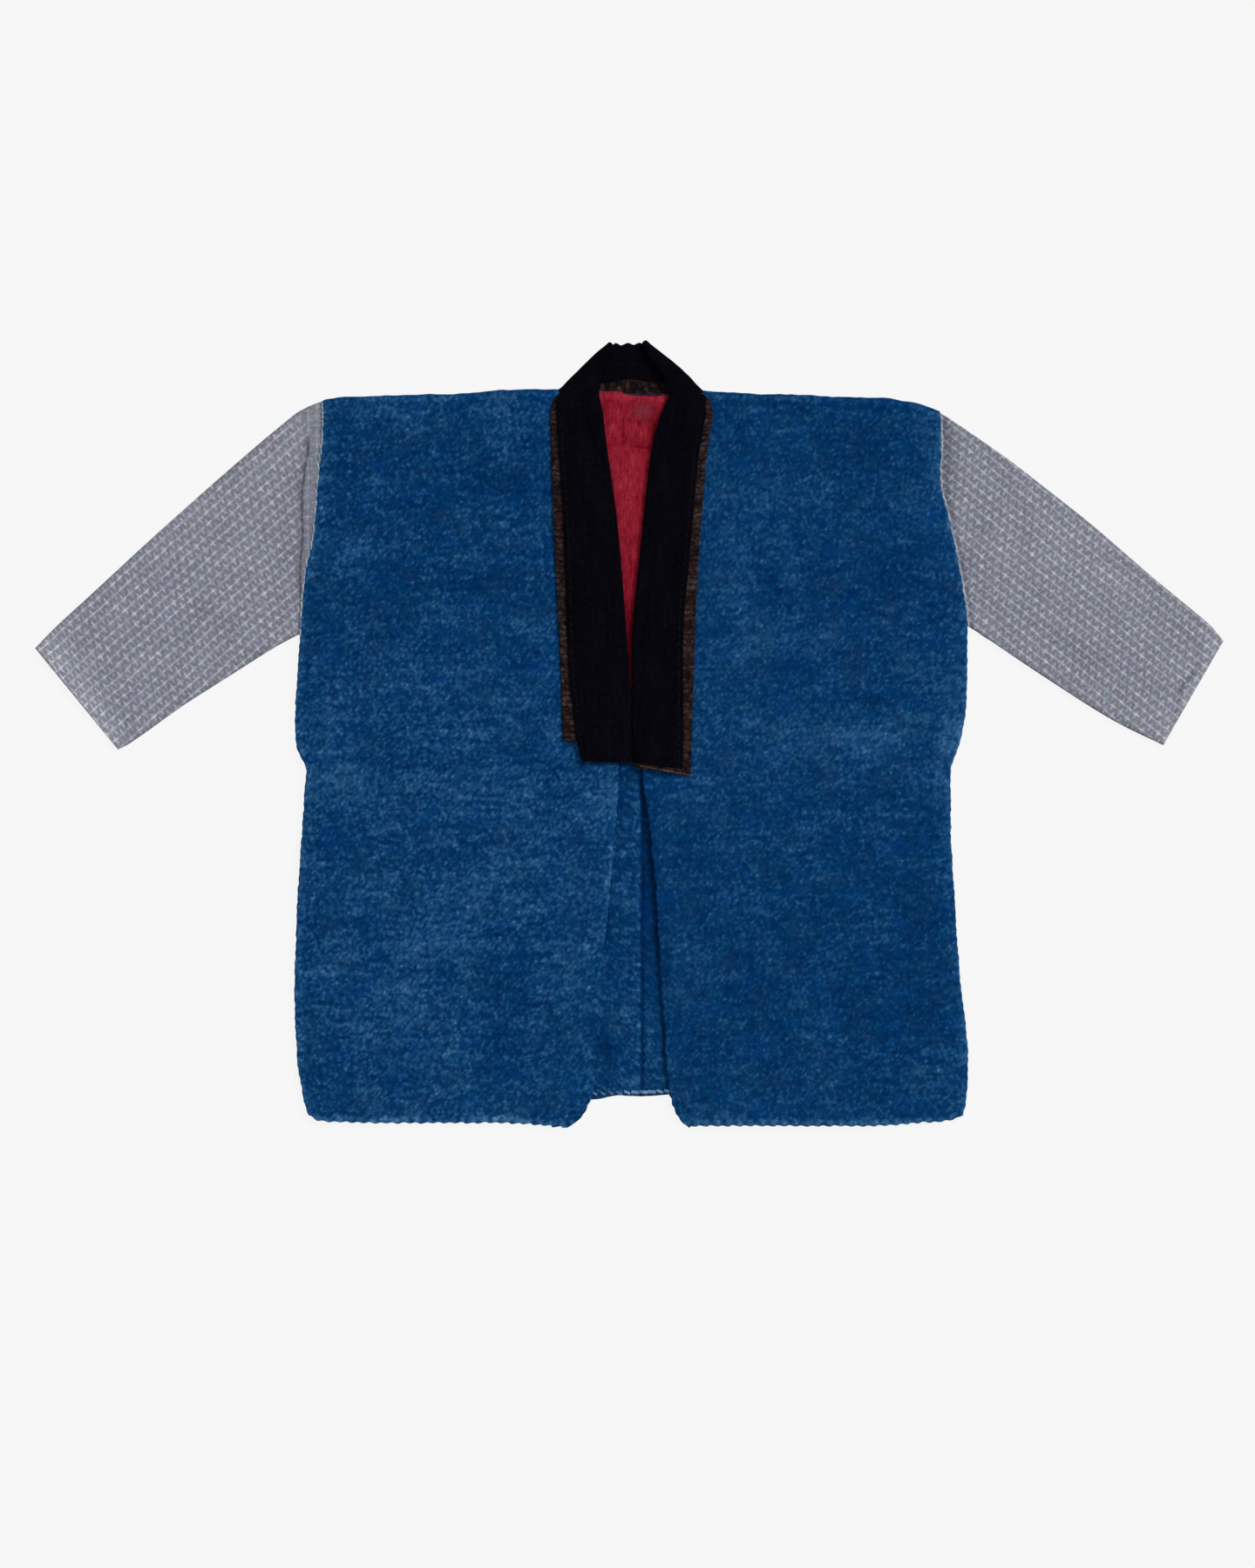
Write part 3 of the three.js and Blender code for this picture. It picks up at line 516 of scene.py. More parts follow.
    outer = np.concatenate([backOuter, foldOuter, frontOuter])
    inner = np.concatenate([backInner, foldInner, frontInner])
    present = np.ones((outer.shape[0] - 1, outer.shape[1] - 1), bool)
    present[len(j) - 1:, len(panel) - 1:] = False  # nothing past the neck but on the back

    def allOver(back, fold, front):  # one value for each point of the three grids
        return np.concatenate([back + 0 * backY, fold + 0 * foldX, front + 0 * frontY])

    # length along the cloth, and how light or dark the cloth is, painted shade and light included
    lengthAtFold = cloth["frontZero"] - foldY
    alongCloth = allOver(lengthAtFold - radius * math.pi - foldY + backY,
                         lengthAtFold - radius * (math.pi - turn), cloth["frontZero"] - frontY)
    beside = np.abs(backX - edgeX(np.minimum(backY, cloth["bandBottom"])))
    # on the inside of the back: painted shade beside the front edges, painted light lower down beside the
    # right front's edge, and a patch of painted shade near the hem
    inside = -half["insideShade"] * bell(beside, 9) * smooth(-290, -170, backY)
    inside += 0.7 * bell(beside, 5) * (1 - smooth(-250, -190, backY)) * (backX < 0)
    inside -= 1.6 * bell(backX + 22, 9) * bell(backY + 322, 26)
    # a lighter line along the front edge below the collar, fading out lower down: partly wear, partly a
    # painted highlight on the rounded edge
    edgeWearAndHighlight = smooth(-230, -150, frontY) * belowBand * (1 + ripple(frontX, frontY, 9, seed + 12))
    front = 0.8 * bell(fromEdge - 2.5, 2) * edgeWearAndHighlight
    # a painted highlight along the shoulder fold, and a darker stitch line below it
    front += (0.7 * bell(fromFold - 1, 2) - 1.1 * bell(fromFold - 6, 2.4)) * smooth(0, 20, fromSide)
    farOff = cloth["farOff"]
    worn = 1.9 * np.exp(-allOver(farOff, farOff, np.minimum(fromSide, fromHem)) / 5.5)
    x, y = outer[:, :, 0], outer[:, :, 1]
    tone = toneAt(half["tones"], x, y) + worn + allOver(inside, 0, front)
    hem = allOver(farOff, farOff, fromHem)
    marks = {"tone": tone, "hem": hem, "lively": 0 * tone + half["lively"]}
    return clothShell(half["name"], outer, inner, {"cloth": np.dstack([x, alongCloth])}, marks, present)


# Sleeves

check = {"linePitch": 9.3, "knotPitch": 9.9}
# the strip of cloth turned in along the right armhole: where it starts and ends, and the groove beside it
tuck = {"start": (118, 160), "end": (298, 314), "grooveDepth": 0.5, "grooveAt": -1.4, "grooveWidth": 1.5}
cuff = {"hemAt": 11.5, "hemDepth": 0.3, "hemWidth": 1.3, "round": 0.7}
sleeveGrid = {"along": 170, "closer": 1.1, "across": 92, "turn": 8}

# sections from the armhole to the cuff: X and Y of the upper fold, X and Y of the seam below
rightSleeve = {
    "name": "sleeve_right_cloth", "body": rightBody, "outward": -1, "seed": 5,
    "sections": [(-316.6, 345.4, -341.2, 104.4), (-339.3, 335.8, -358, 95.5), (-369, 312.2, -377.1, 83.7),
                 (-431, 258.8, -419.4, 56.7), (-495, 201.6, -461.7, 29.7), (-556, 145.2, -500, 2.2),
                 (-594, 110.2, -519.3, -10.8), (-614, 89.6, -528.3, -15.3)],
    "tuckWidth": [(129, 0), (168, 5), (200, 10), (252, 14.6), (272, 14.2), (289, 13), (303, 14.6),
                  (330, 22)],
    "tuckHeight": 1.0, "length": 392.0, "linePitch": 9.3, "slant": -0.073,
    "tones": [(-330, 330, 20, 40, 0, 0.3), (-420, 110, 60, 14, -40, -0.3), (-470, 215, 60, 20, 40, 0.2),
              (-352, 200, 8, 60, 0, -0.4)],
}
leftSleeve = {
    "name": "sleeve_left_cloth", "body": leftBody, "outward": 1, "seed": 8,
    "sections": [(321.2, 333.2, 349.8, 112.8), (351.9, 313.2, 374.4, 97.2), (389.7, 286.2, 413.1, 70.2),
                 (433, 252.8, 444, 49.9), (476.1, 218.7, 475.2, 29.7), (539.8, 163.8, 510, 9.4),
                 (603, 110.7, 545, -7.5), (614, 97.2, 551.7, -10.8)],
    "tuckWidth": [(100, 0), (400, 0)],
    "tuckHeight": 0.0, "length": 388.0, "linePitch": 8.45, "slant": 0.08,
    "tones": [(333, 290, 7, 45, 0, -0.9), (350, 180, 10, 60, -20, -0.4), (450, 90, 70, 14, -30, -0.3),
              (480, 180, 60, 20, -40, 0.2), (578.5, 57.8, 15, 1.8, 53, -2.4),
              (566.5, 30, 16, 1.6, 78, -1.6), (587, 79, 10, 2, 90, -1.0), (573, 104, 22, 8, -40, -0.4)],
}


def sleeveTube(sleeve):
    sideX = sideLine(sleeve["body"])
    sections, outward, seed = sleeve["sections"], sleeve["outward"], sleeve["seed"]
    place = np.linspace(0, 1, len(sections))
    foldX, foldY, seamX, seamY = [curveThrough(list(zip(place, column))) for column in zip(*sections)]
    tuckWidth = curveThrough(sleeve["tuckWidth"])
    at = (np.linspace(0, 1, sleeveGrid["along"]) ** sleeveGrid["closer"])[:, None]
    fold = np.dstack([foldX(at), foldY(at)])
    seam = np.dstack([seamX(at), seamY(at)])
    length = np.linalg.norm(seam - fold, axis=2)
    half = (cloth["liningBase"] + cloth["sleeve"]) / 2
    flatSteps = np.linspace(0, 1, sleeveGrid["across"])
    turnSteps = np.arange(1, sleeveGrid["turn"]) / sleeveGrid["turn"] * math.pi
    first = sections[0]

    def skin(reach):  # one skin of the tube, inner or outer, and the distances on it
        across, height = [], []
        for side in (1, -1):
            near = half if side > 0 else length - half
            far = length - near
            across += [lerp(near, far, flatSteps), far + side * reach * np.sin(turnSteps)]
            height += [np.full(len(flatSteps), side * reach), side * reach * np.cos(turnSteps)]
        across = np.concatenate(across, axis=1)
        height = np.concatenate(height) + 0 * across
        point = fold + (seam - fold) * (across / length)[:, :, None]
        x, y = point[:, :, 0], point[:, :, 1]
        lineX = lerp(first[0], first[2], (y - first[1]) / (first[3] - first[1]))
        x = x + (sideX(y) - lineX) * (1 - smooth(0, 0.3, at))  # it starts along the body's side
        fromArmhole = outward * (x - sideX(y))
        inTuck = tuckWidth(y) - fromArmhole
        onTop = smooth(0.2, 0.9, height / reach)
        plain = smooth(*tuck["start"], y) * onTop * (sleeve["tuckHeight"] > 0)
        fade = plain * (1 - smooth(*tuck["end"], y))
        raised = sleeve["tuckHeight"] * smooth(-0.7, 0.7, inTuck) * fade
        groove = tuck["grooveDepth"] * bell(inTuck - tuck["grooveAt"], tuck["grooveWidth"]) * fade
        edges = np.minimum(across, length - across)
        waves = 0.5 * ripple(x, y, 52, seed) + 0.25 * ripple(x, y, 19, seed + 1)
        waves += 0.1 * ripple(x, y, 7, seed + 2)
        fromCuff = (1 - at) * sleeve["length"] + 0 * x
        hem = cuff["hemDepth"] * bell(fromCuff - cuff["hemAt"], cuff["hemWidth"])
        hem += roundedBy(fromCuff, cuff["round"])
        z = half + height * (1 - 0.16 * hem) + raised + waves * smooth(0, 16, edges) * onTop - groove
        return np.dstack([x, y, z]), inTuck, fade, plain, fromArmhole, fromCuff, edges

    outer, inTuck, fade, plain, fromArmhole, fromCuff, edges = skin(half)
    inner = skin(half - cloth["sleeve"])[0]
    # cloth coordinates: along the sleeve and across it, and square to the body where the tuck turns it
    lastFoldX, lastFoldY = sections[-1][:2]
    angle = math.atan2(lastFoldY - sections[1][1], lastFoldX - sections[1][0])
    x, y = outer[:, :, 0], outer[:, :, 1]
    acrossSleeve = y * math.cos(angle) - x * math.sin(angle)
    turned = np.dstack([x * math.cos(angle) + y * math.sin(angle) + sleeve["slant"] * acrossSleeve,
                        acrossSleeve * check["linePitch"] / sleeve["linePitch"]])
    # painted shade in the crease beside the tuck
    crease = (0.9 * bell(inTuck + 1.0, 1.5) + 0.6 * bell(inTuck + 3.5, 3.4) * (inTuck < 0)) * fade
    tone = toneAt(sleeve["tones"], x, y) + 0.9 * (1 - smooth(15, 95, fromCuff))
    tone -= 0.6 * (inTuck > 0) * plain
    # painted shade along the tube's folded edges, at the cuff's edge and beside the groove of the cuff's
    # hem
    tone -= 1.1 * np.exp(-edges / 1.6) + 2.2 * bell(fromCuff - 1, 1.2) + 0.8 * bell(fromCuff - 12.5, 1.1)
    # painted shade beside the left armhole's stitches
    tone -= 1.7 * bell(fromArmhole - 4.6, 1.6 + 2.6 * smooth(190, 290, y)) * (outward > 0)
    net = (1 - smooth(30, 140, fromCuff)) * (outward < 0)
    marks = {"tone": tone, "crease": crease, "plain": smooth(-0.5, 1.5, inTuck) * plain, "net": net}
    return clothShell(sleeve["name"], outer, inner, {"cloth": turned, "square": np.dstack([y, x])}, marks,
                      roundway=True)


# Collar

collar = {
    "cover": 1.3, "band": 2.0, "inside": 1.0,  # thicknesses
    "foldRadius": 3.1, "turns": 24, "spacing": 1.5, "seamLap": 0.9, "edgeRound": 0.65,
    "tickPitch": 6.3, "tickHeight": 0.2, "stitchLine": 4.6, "stitchDepth": 0.25,
    "bandStart": 20.5, "coverEnd": 4.6,  # how far the band starts, and the cover stops, from the ends
    "bulgeRight": (1.0, 0.7), "bulgeLeft": (2.0, 0.38),  # how far a turn swells out, and where across it
    "turnRun": 8.0,  # cloth in the turn round the free edge
    "over": 26, "under": 14, "turn": 9, "lip": (0.0, 0.006, 0.015, 0.03),  # steps across
}
# the collar going round: its seam and free edge, where the cover starts across it, how far the free edge
# sags, how far it lies folded over, how far it gathers upwards, and where the cover's hidden edge lies
bandKeys = ("seamX", "seamY", "freeX", "freeY", "cover", "sag", "fold", "gather", "bare")
rightBand = [
    (-66.5, -27, 2.4, -28.8, 18, 3.2, 0, 0, 20), (-68.4, -6.3, 2.3, -8, 14.6, 3.2, 0, 0, 17),
    (-69.7, 34, 2.0, 32, 10.6, 3.2, 0, 0, 15), (-71.1, 74.7, -0.3, 74.7, 8.2, 3, 0, 0, 15),
    (-73.8, 128.7, -4.4, 126, 8.8, 3, 0, 0, 15), (-76.5, 182.7, -8.4, 180, 9.9, 3, 0, 0, 15),
    (-78.6, 236, -14, 234, 9.6, 2.9, 0, 0, 15), (-80.4, 290, -22, 290, 7.8, 2.6, 0, 0, 15),
    (-81.5, 325, -27.2, 332, 6.8, 1.8, 0, 0, 15), (-80.8, 335.5, -31, 353, 6, 1, 0, 0, 15),
    (-79, 342.5, -27.4, 374, 4.6, 0.3, 0, 0, 15), (-75.6, 348.2, -22, 391, 2, 0, 0.35, 0, 15),
    (-68.6, 353, -16.4, 402.4, -1.5, 0, 1, 0, 15),
]
neckBand = [
    (-68.6, 353, -16.4, 402.4, -1.5, 0, 1, 0, 15), (-56, 354.2, -14.4, 405, 6.4, 0, 1, 0, 13),
    (-42, 354.2, -11.8, 404.2, 8, 0, 1, 0.4, 10), (-24, 354, -8.2, 402.6, 8, 0, 1, 0, 10.5),
    (-2, 352.8, -1.4, 404.9, 8, 0, 1, 1.3, 15), (18, 351.4, 4.3, 403, 9.5, 0, 1, 0, 15.4),
    (38, 351.2, 7.4, 404.2, 12, 0, 1, 0.4, 14), (56, 351.4, 10.8, 405.2, 13.5, 0, 1, 0, 16),
    (72.4, 351.6, 13, 404.2, -1.5, 0, 1, 0, 15),
]
leftBand = [
    (72.4, 351.6, 13, 404.2, -1.5, 0, 1, 0, 15), (79, 348.8, 20, 391, 2, 0, 0.35, 0, 15),
    (83.6, 344.6, 31.6, 375, 4.4, 0.3, 0, 0, 15), (86, 336.6, 41.2, 354, 7.8, 1, 0, 0, 15),
    (86.4, 330, 36.6, 340, 7.6, 1.6, 0, 0, 15), (85, 320, 29.8, 322, 7.6, 2, 0, 0, 15),
    (80.4, 290.7, 22.4, 290, 8.2, 2.6, 0, 0, 15),
    (75.8, 236, 15.6, 234, 8.9, 2.9, 0, 0, 15), (71.6, 182, 10, 178, 9.5, 3, 0, 0, 15),
    (69, 128.7, 4.6, 126, 12, 3, 0, 0, 15), (67.2, 83, 2.2, 79, 11.7, 3, 0, 0, 15),
    (65.7, 38.7, 2.6, 36, 9.8, 3.2, 0, 0, 15), (64.4, -6.3, 2.9, -4, 8.2, 3.2, 0, 0, 15),
    (63.3, -37, 2.9, -29.6, 8.2, 3.2, 0, 0, 15), (63, -41.4, 2.9, -33.8, 8.2, 3.2, 0, 0, 15),
]
halfStack = (collar["cover"] + collar["band"] + collar["inside"] + 2 * cloth["gap"]) / 2


def refined(rows, spacing):  # a smooth curve through the rows of a band, with even steps
    rows = np.array(rows, float)
    padded = np.concatenate([rows[:1], rows, rows[-1:]])
    out = []
    for n in range(len(rows) - 1):
        a, b, c, d = padded[n:n + 4]
        tangentB, tangentC = (c - a) / 2, (d - b) / 2
        middleStep = (c[:2] + c[2:4] - b[:2] - b[2:4]) / 2
        count = max(2, int(round(np.linalg.norm(middleStep) / spacing)))
        for t in np.arange(count) / count:
            cubic = 2 * b - 2 * c + tangentB + tangentC
            square = -3 * b + 3 * c - 2 * tangentB - tangentC
            out.append(((cubic * t + square) * t + tangentB) * t + b)
    return out + [rows[-1]]


def collarStations():  # up the right front, over, round the neck, back over and down the left front
    spacing = collar["spacing"]
    right, left = refined(rightBand, spacing), refined(leftBand, spacing)
    neck = refined(neckBand, spacing)[1:-1]
    turns = math.pi * np.arange(collar["turns"] + 1) / collar["turns"]
    plan = [(row, 0.0, None, rightBody) for row in right[:-1]]
    plan += [(right[-1], turn, collar["bulgeRight"], rightBody) for turn in turns]
    plan += [(row, math.pi, None, None) for row in neck]
    plan += [(left[0], turn, collar["bulgeLeft"], leftBody) for turn in turns[::-1]]
    plan += [(row, 0.0, None, leftBody) for row in left[1:]]
    # at each, the collar lies down to the seam, flat on the cloth and sagging to its free edge
    stations, run = [], 0.0
    for row, turn, bulge, half in plan:
        station = dict(zip(bandKeys, row))
        seam = np.array([station["seamX"], station["seamY"]])
        direction = np.array([station["freeX"], station["freeY"]]) - seam
        width = float(np.linalg.norm(direction))
        wrap = width - halfStack
        bare = max(station["bare"], station["cover"] + 2)
        edge = curveThrough(half["frontEdge"])(station["seamY"]) if half else station["seamX"]
        toEdge = (edge - station["seamX"]) / direction[0] * width + 1.5
        panel = min(wrap - 6, max(bare + 2, toEdge))
        upward = (1 + math.cos(turn)) / 2
        seamDrop = collar["inside"] + cloth["gap"]
        coverStart = max(station["cover"], 0.6)
        knots = [(0, seamDrop * upward), (coverStart, seamDrop * (1 - coverStart / bare) * upward),
                 (bare, 0), (panel, 0), ((panel + wrap) / 2, station["sag"] * 0.4), (wrap, station["sag"])]
        middle = seam + direction / 2
        if stations:
            last = stations[-1]
            run += max(float(np.linalg.norm(middle - last["middle"])), 5 * abs(turn - last["turn"]))
        station.update(seam=seam, width=width, wrap=wrap, bare=bare, turn=turn, bulge=bulge, run=run,
                       direction=direction / width, middle=middle, sink=curveThrough(knots))
        stations.append(station)
    return stations


def collarPoints(station, across, offset):  # points of a layer, offset from the middle one
    across, offset = np.asarray(across, float), np.asarray(offset, float)
    turn, share = station["turn"], np.clip(across / station["width"], 0, 1)
    lowered = station["sink"](np.minimum(across, station["wrap"]))
    direction = station["direction"]
    toRight = 1 if direction[0] > 0 else -1
    outward = np.array([-direction[1], direction[0]]) * toRight
    swell = 0
    if station["bulge"]:
        reach, peak = station["bulge"]
        swell = reach * smooth(0, peak, share) * (1 - smooth(peak, 1, share))
    radius = collar["foldRadius"]
    reach = (radius + offset + swell) * math.sin(turn)
    point = station["seam"] + across[:, None] * direction + reach[:, None] * outward
    centre = halfStack + radius
    lift = cloth["frontTop"] + cloth["gap"] + halfStack - (centre + radius)
    z = centre + (radius + offset) * math.cos(turn) - lowered
    if turn == 0:
        z = z + lift * (1 - station["fold"])
    if turn == math.pi:
        z = z + station["gather"] * smooth(0.45, 1, share)
    return np.column_stack([point, np.maximum(z, 0)])


def underCollar(stations):  # the brown band
    top = halfStack - collar["cover"] - cloth["gap"]
    outer, inner, flat, neckShadeMark = [], [], [], []
    for station in stations:
        lap = collar["seamLap"] * (station["turn"] > 0)
        across = lerp(-lap, station["wrap"], steps(collar["over"], lip=collar["lip"]))
        edge = np.minimum(across + lap, station["wrap"] - across)
        fallen = roundedBy(edge, 1.0)
        tick = collar["tickHeight"] * (0.5 + 0.5 * wave(station["run"], collar["tickPitch"]))
        tick = tick * ((across < station["cover"] - 1) | (station["turn"] > 3))  # where it is bare
        outer.append(collarPoints(station, across, top - fallen + tick))
        underside = top - collar["band"] + np.minimum(fallen, 0.8) - tick
        inner.append(collarPoints(station, across, underside))
        flat.append(np.column_stack([np.full(len(across), station["run"]), across]))
        # 1 at the back of the neck, where the band gets painted shade
        neckShadeMark.append(np.full(len(across), float(station["turn"] > 2)))
    return clothShell("under_collar_cloth", np.array(outer), np.array(inner), {"cloth": np.array(flat)},
                      {"shaded": np.array(neckShadeMark)})


def collarCover(stations):  # the black cover, round the free edge of the band
    outer, inner, flat = [], [], []
    for station in stations:
        wrap, first, last = station["wrap"], station["cover"], station["bare"]
        over = lerp(first, wrap, steps(collar["over"], lip=collar["lip"]))
        under = lerp(wrap, last, steps(collar["under"], lip=(0.0, 0.01, 0.02)))
        turning = np.arange(1, collar["turn"]) / collar["turn"] * math.pi
        run = station["run"]
        rows = []
        insideHigh, insideLow = halfStack - collar["cover"], collar["inside"] - halfStack
        for high, low, outside in ((halfStack, -halfStack, 1), (insideHigh, insideLow, 0)):
            middle, radius = (high + low) / 2, (high - low) / 2
            fromEdge = over - first
            fallen = roundedBy(fromEdge, collar["edgeRound"])
            pulled = collar["stitchDepth"] * bell(fromEdge - collar["stitchLine"], 0.9)
            nap = 0.16 * ripple(0 * over + run, over, 5.2, 61)
            nap += 0.2 * ripple(0 * over + run, over * 1.6, 14, 62)
            above = high - (fallen + pulled - nap if outside else -0.9 * fallen)
            napUnder = 0.14 * ripple(0 * under + run, under, 6, 63) * outside
            acrossAll = np.concatenate([over, wrap + radius * np.sin(turning), under])
            offsetAll = np.concatenate([above, middle + radius * np.cos(turning), low - napUnder])
            rows.append(collarPoints(station, acrossAll, offsetAll))
        outer.append(rows[0])
        inner.append(rows[1])
        hidden = 2 * wrap - under + collar["turnRun"]
        acrossCloth = np.concatenate([over, wrap + halfStack * turning, hidden])
        flat.append(np.column_stack([np.full(len(acrossCloth), run), acrossCloth]))
    return clothShell("collar_cover_cloth", np.array(outer), np.array(inner), {"cloth": np.array(flat)})


# Neck lining

lining = {
    "lowX": -62, "highX": 66, "lowY": 48, "highY": 354.6, "along": 150, "across": 92,
    "creases": [
        (13, 297.2, 22, -0.1, 1.9, -0.55), (-6.4, 314, 3.4, 0, 13, -0.4),
        (-20, 344.8, 20, -0.1, 1.6, -0.3), (24.5, 322, 3.6, 0, 26, -0.5),
    ],
    # painted shade among these tones: the right collar band's shadow near X 25, the shade between the
    # bands low down, and the creases; the others are lighter and darker patches
    "tones": [
        (-12, 349, 34, 5, 0, 1.5), (30, 347, 10, 5, 0, 1.5), (-6.2, 315, 1.8, 13, 0, -1.6),
        (25, 322, 4.5, 25, 0, -2.0), (-24.5, 340, 1.6, 5, 0, -1.4), (28, 341, 5, 3, 0, 1.0),
        (-2, 240, 9, 40, 0, 0.9), (0, 200, 2, 34, 0, -0.8), (-12, 315, 6, 20, 0, 0.5),
        (5, 172, 3, 6, 0, -1.6), (6, 275, 10, 12, 0, 0.7), (1, 100, 12, 34, 0, -3.0),
    ],
    # dark marks, and one dusty place: middle, half sizes, slope, strength; the long thin marks are painted
    # shade along creases and a fold, the small round ones are spots
    "marks": [
        (13.5, 296.6, 12, 1.4, -0.16, 0.75), (-1, 300.6, 5, 1.1, -0.6, 0.4),
        (9.9, 322.2, 1.3, 1.8, 0, 1.3), (0, 326, 1.2, 2.2, 0, 0.5),
        (-22, 345, 9, 1.2, -0.14, 0.35), (-7, 315, 1.4, 12, 0, 0.25),
    ],
    "dust": (14, 334, 15, 12, 0, 0.45),
}


def neckLining():
    v = steps(lining["along"], lip=(0.0, 0.002, 0.004))[:, None]
    u = steps(lining["across"], lip=(0.0, 0.004, 0.008))
    x = lerp(lining["lowX"], lining["highX"], u) + 0 * v
    # the top edge dips towards the wearer's left
    highY = lining["highY"] - 4.6 * smooth(-16, 13, x) + 0.8 * smooth(20, 32, x)
    y = lerp(lining["lowY"], highY, v)
    bare = smooth(-45, -25, x) * (1 - smooth(30, 50, x))  # not under the collar
    lift = 0.3 * (ripple(x, y / 2.5, 13, 3) + 1) + 0.22 * (ripple(x, y / 1.5, 6, 4) + 1) + 0.3
    lift += creaseLift(lining["creases"], x, y)
    top = cloth["liningBase"] + cloth["lining"] + lift * bare
    outer = np.dstack([x, y, top])
    inner = np.dstack([x, y, cloth["liningBase"] + 0 * x])
    return clothShell("neck_lining_cloth", outer, inner, {"cloth": np.dstack([x, y])},
                      {"tone": toneAt(lining["tones"], x, y)})


# Finishes

indigoLook = {
    "relief": 0.8, "roughness": 0.92, "specular": 0.03, "seamStitch": 8.8, "rowBend": 14, "columnBend": 9,
    "shades": [(0.0, (0, 27, 65)), (0.2, (0, 37, 80)), (0.35, (1, 47, 91)), (0.45, (7, 55, 99)),
               (0.6, (28, 75, 119)), (0.8, (54, 99, 142)), (1.0, (92, 132, 170))],
    "dusty": (34, 60, 94), "deep": (0, 54, 118), "teal": (3, 70, 106),
}


def indigoQuilt():
    f = Finish("indigoQuilt")
    at = f.uvMap("cloth")
    u, v = f.split(at)
    # worn tops of thread, leaning one way or another from place to place
    upright = f.noise(at, 5.0, (0.78, 1.25), 1.0, 0.5, 0.0, 16)
    leaning = f.noise(at, 5.0, (0.74, 1.35), 1.0, 0.5, 3.0, 38)
    lying = f.noise(at, 5.0, (1.05, 0.9), 1.0, 0.5, 5.0, -14)
    where = f.noise(at, 52, (1, 1), 1.0, 0.5, 8.0)
    strokes = lerp(lying, upright, where.between(0.42, 0.5))
    strokes = lerp(strokes, leaning, where.between(0.52, 0.62))
    dots = f.spots(at, 5.2, (0.75, 1.3), 0.0, 32) + f.spots(at, 4.8, (1.1, 0.9), 4.0, -20)
    dots = dots + f.spots(at, 4.3, (1, 1.15), 7.0, 50)
    rough = f.noise(at, 4.4, (4.5, 1), 1.0, 0.5, 14.0, -3)
    puffs = f.noise(at, 12, (1.25, 1), 2.0, 0.6, 3.0)
    broad = f.noise(at, 44, (1.4, 1), 3.0, 0.6, 11.0)
    bend = f.noise(at, 40, (1, 1), 1.0, 0.5, 5.0)
    # rows and columns of quilting, and the tufts along the front hem
    row = (v + bend * indigoLook["rowBend"]) / quilting["rowPitch"]
    rows = row.wave() * broad.between(0.4, 0.6)
    line = (row + 0.1).wave() ** 5.0 * where.between(0.42, 0.58)
    columns = ((u + bend * indigoLook["columnBend"]) / quilting["columnPitch"]).wave()
    tufts = (u / quilting["scallopPitch"]).wave() * (1 - f.mark("hem").between(3.5, 8.0))
    lively = ((strokes - 0.5) * 0.5 + (dots - 0.55) * 0.18 + (rough - 0.5) * 0.17 + (puffs - 0.5) * 0.3
              + (broad - 0.5) * 0.15 + (rows - 0.3) * 0.1 + (columns - 0.5) * 0.03 - line * 0.11)
    # the seam down the middle of the back, with its lumpy stitches
    fromSeam = u - cloth["seam"]
    bumps = (v / indigoLook["seamStitch"] + bend * 2).wave()
    away = abs(fromSeam - bumps * 1.3 + 0.6)
    onBack = (v / cloth["frontStart"]).math("FLOOR").between(0.2, 0.8)
    onBack = (1 - onBack) * (1 - away.between(7.0, 9.0))
    seam = (1 - away.between(0.5, 3.0)) * (0.2 + bumps * 0.3)
    beside = (1 - abs(fromSeam + 3.6).between(0.6, 3.2)) * bumps * 0.1 * puffs.between(0.35, 0.6)
    # the tone mark adds patches, wear and painted shade and light into the colour
    light = 0.45 + f.mark("tone") * 0.09 + lively * f.mark("lively") + tufts * 0.2
    light = light + (beside - seam) * onBack
    # its colours, a little dusty, deep or teal from place to place
    shade = f.ramp(light, indigoLook["shades"])
    hue = f.noise(at, 30, (1.2, 1), 6.0, 0.72, 21.0)
    teal = f.noise(at, 17, (1, 1), 3.0, 0.65, 33.0)
    shade = f.mix(hue.between(0.48, 0.85) * 0.42, shade, colour(*indigoLook["dusty"]))
    shade = f.mix((1 - hue.between(0.28, 0.5)) * 0.42, shade, colour(*indigoLook["deep"]))
    shade = f.mix(teal.between(0.52, 0.72) * 0.2, shade, colour(*indigoLook["teal"]))
    return f.finished(shade, strokes * 0.4 + dots * 0.25, indigoLook)


greyLook = {
    "relief": 0.4, "roughness": 0.92, "specular": 0.08,
    "shades": [(0.0, (80, 82, 93)), (0.3, (114, 116, 128)), (0.5, (137, 139, 151)),
               (0.72, (163, 165, 177)), (1.0, (203, 205, 213))],
    # the last colour is the painted shade in the crease beside the tuck
    "warm": (150, 124, 136), "cool": (112, 140, 142), "crease": (62, 64, 74),
}


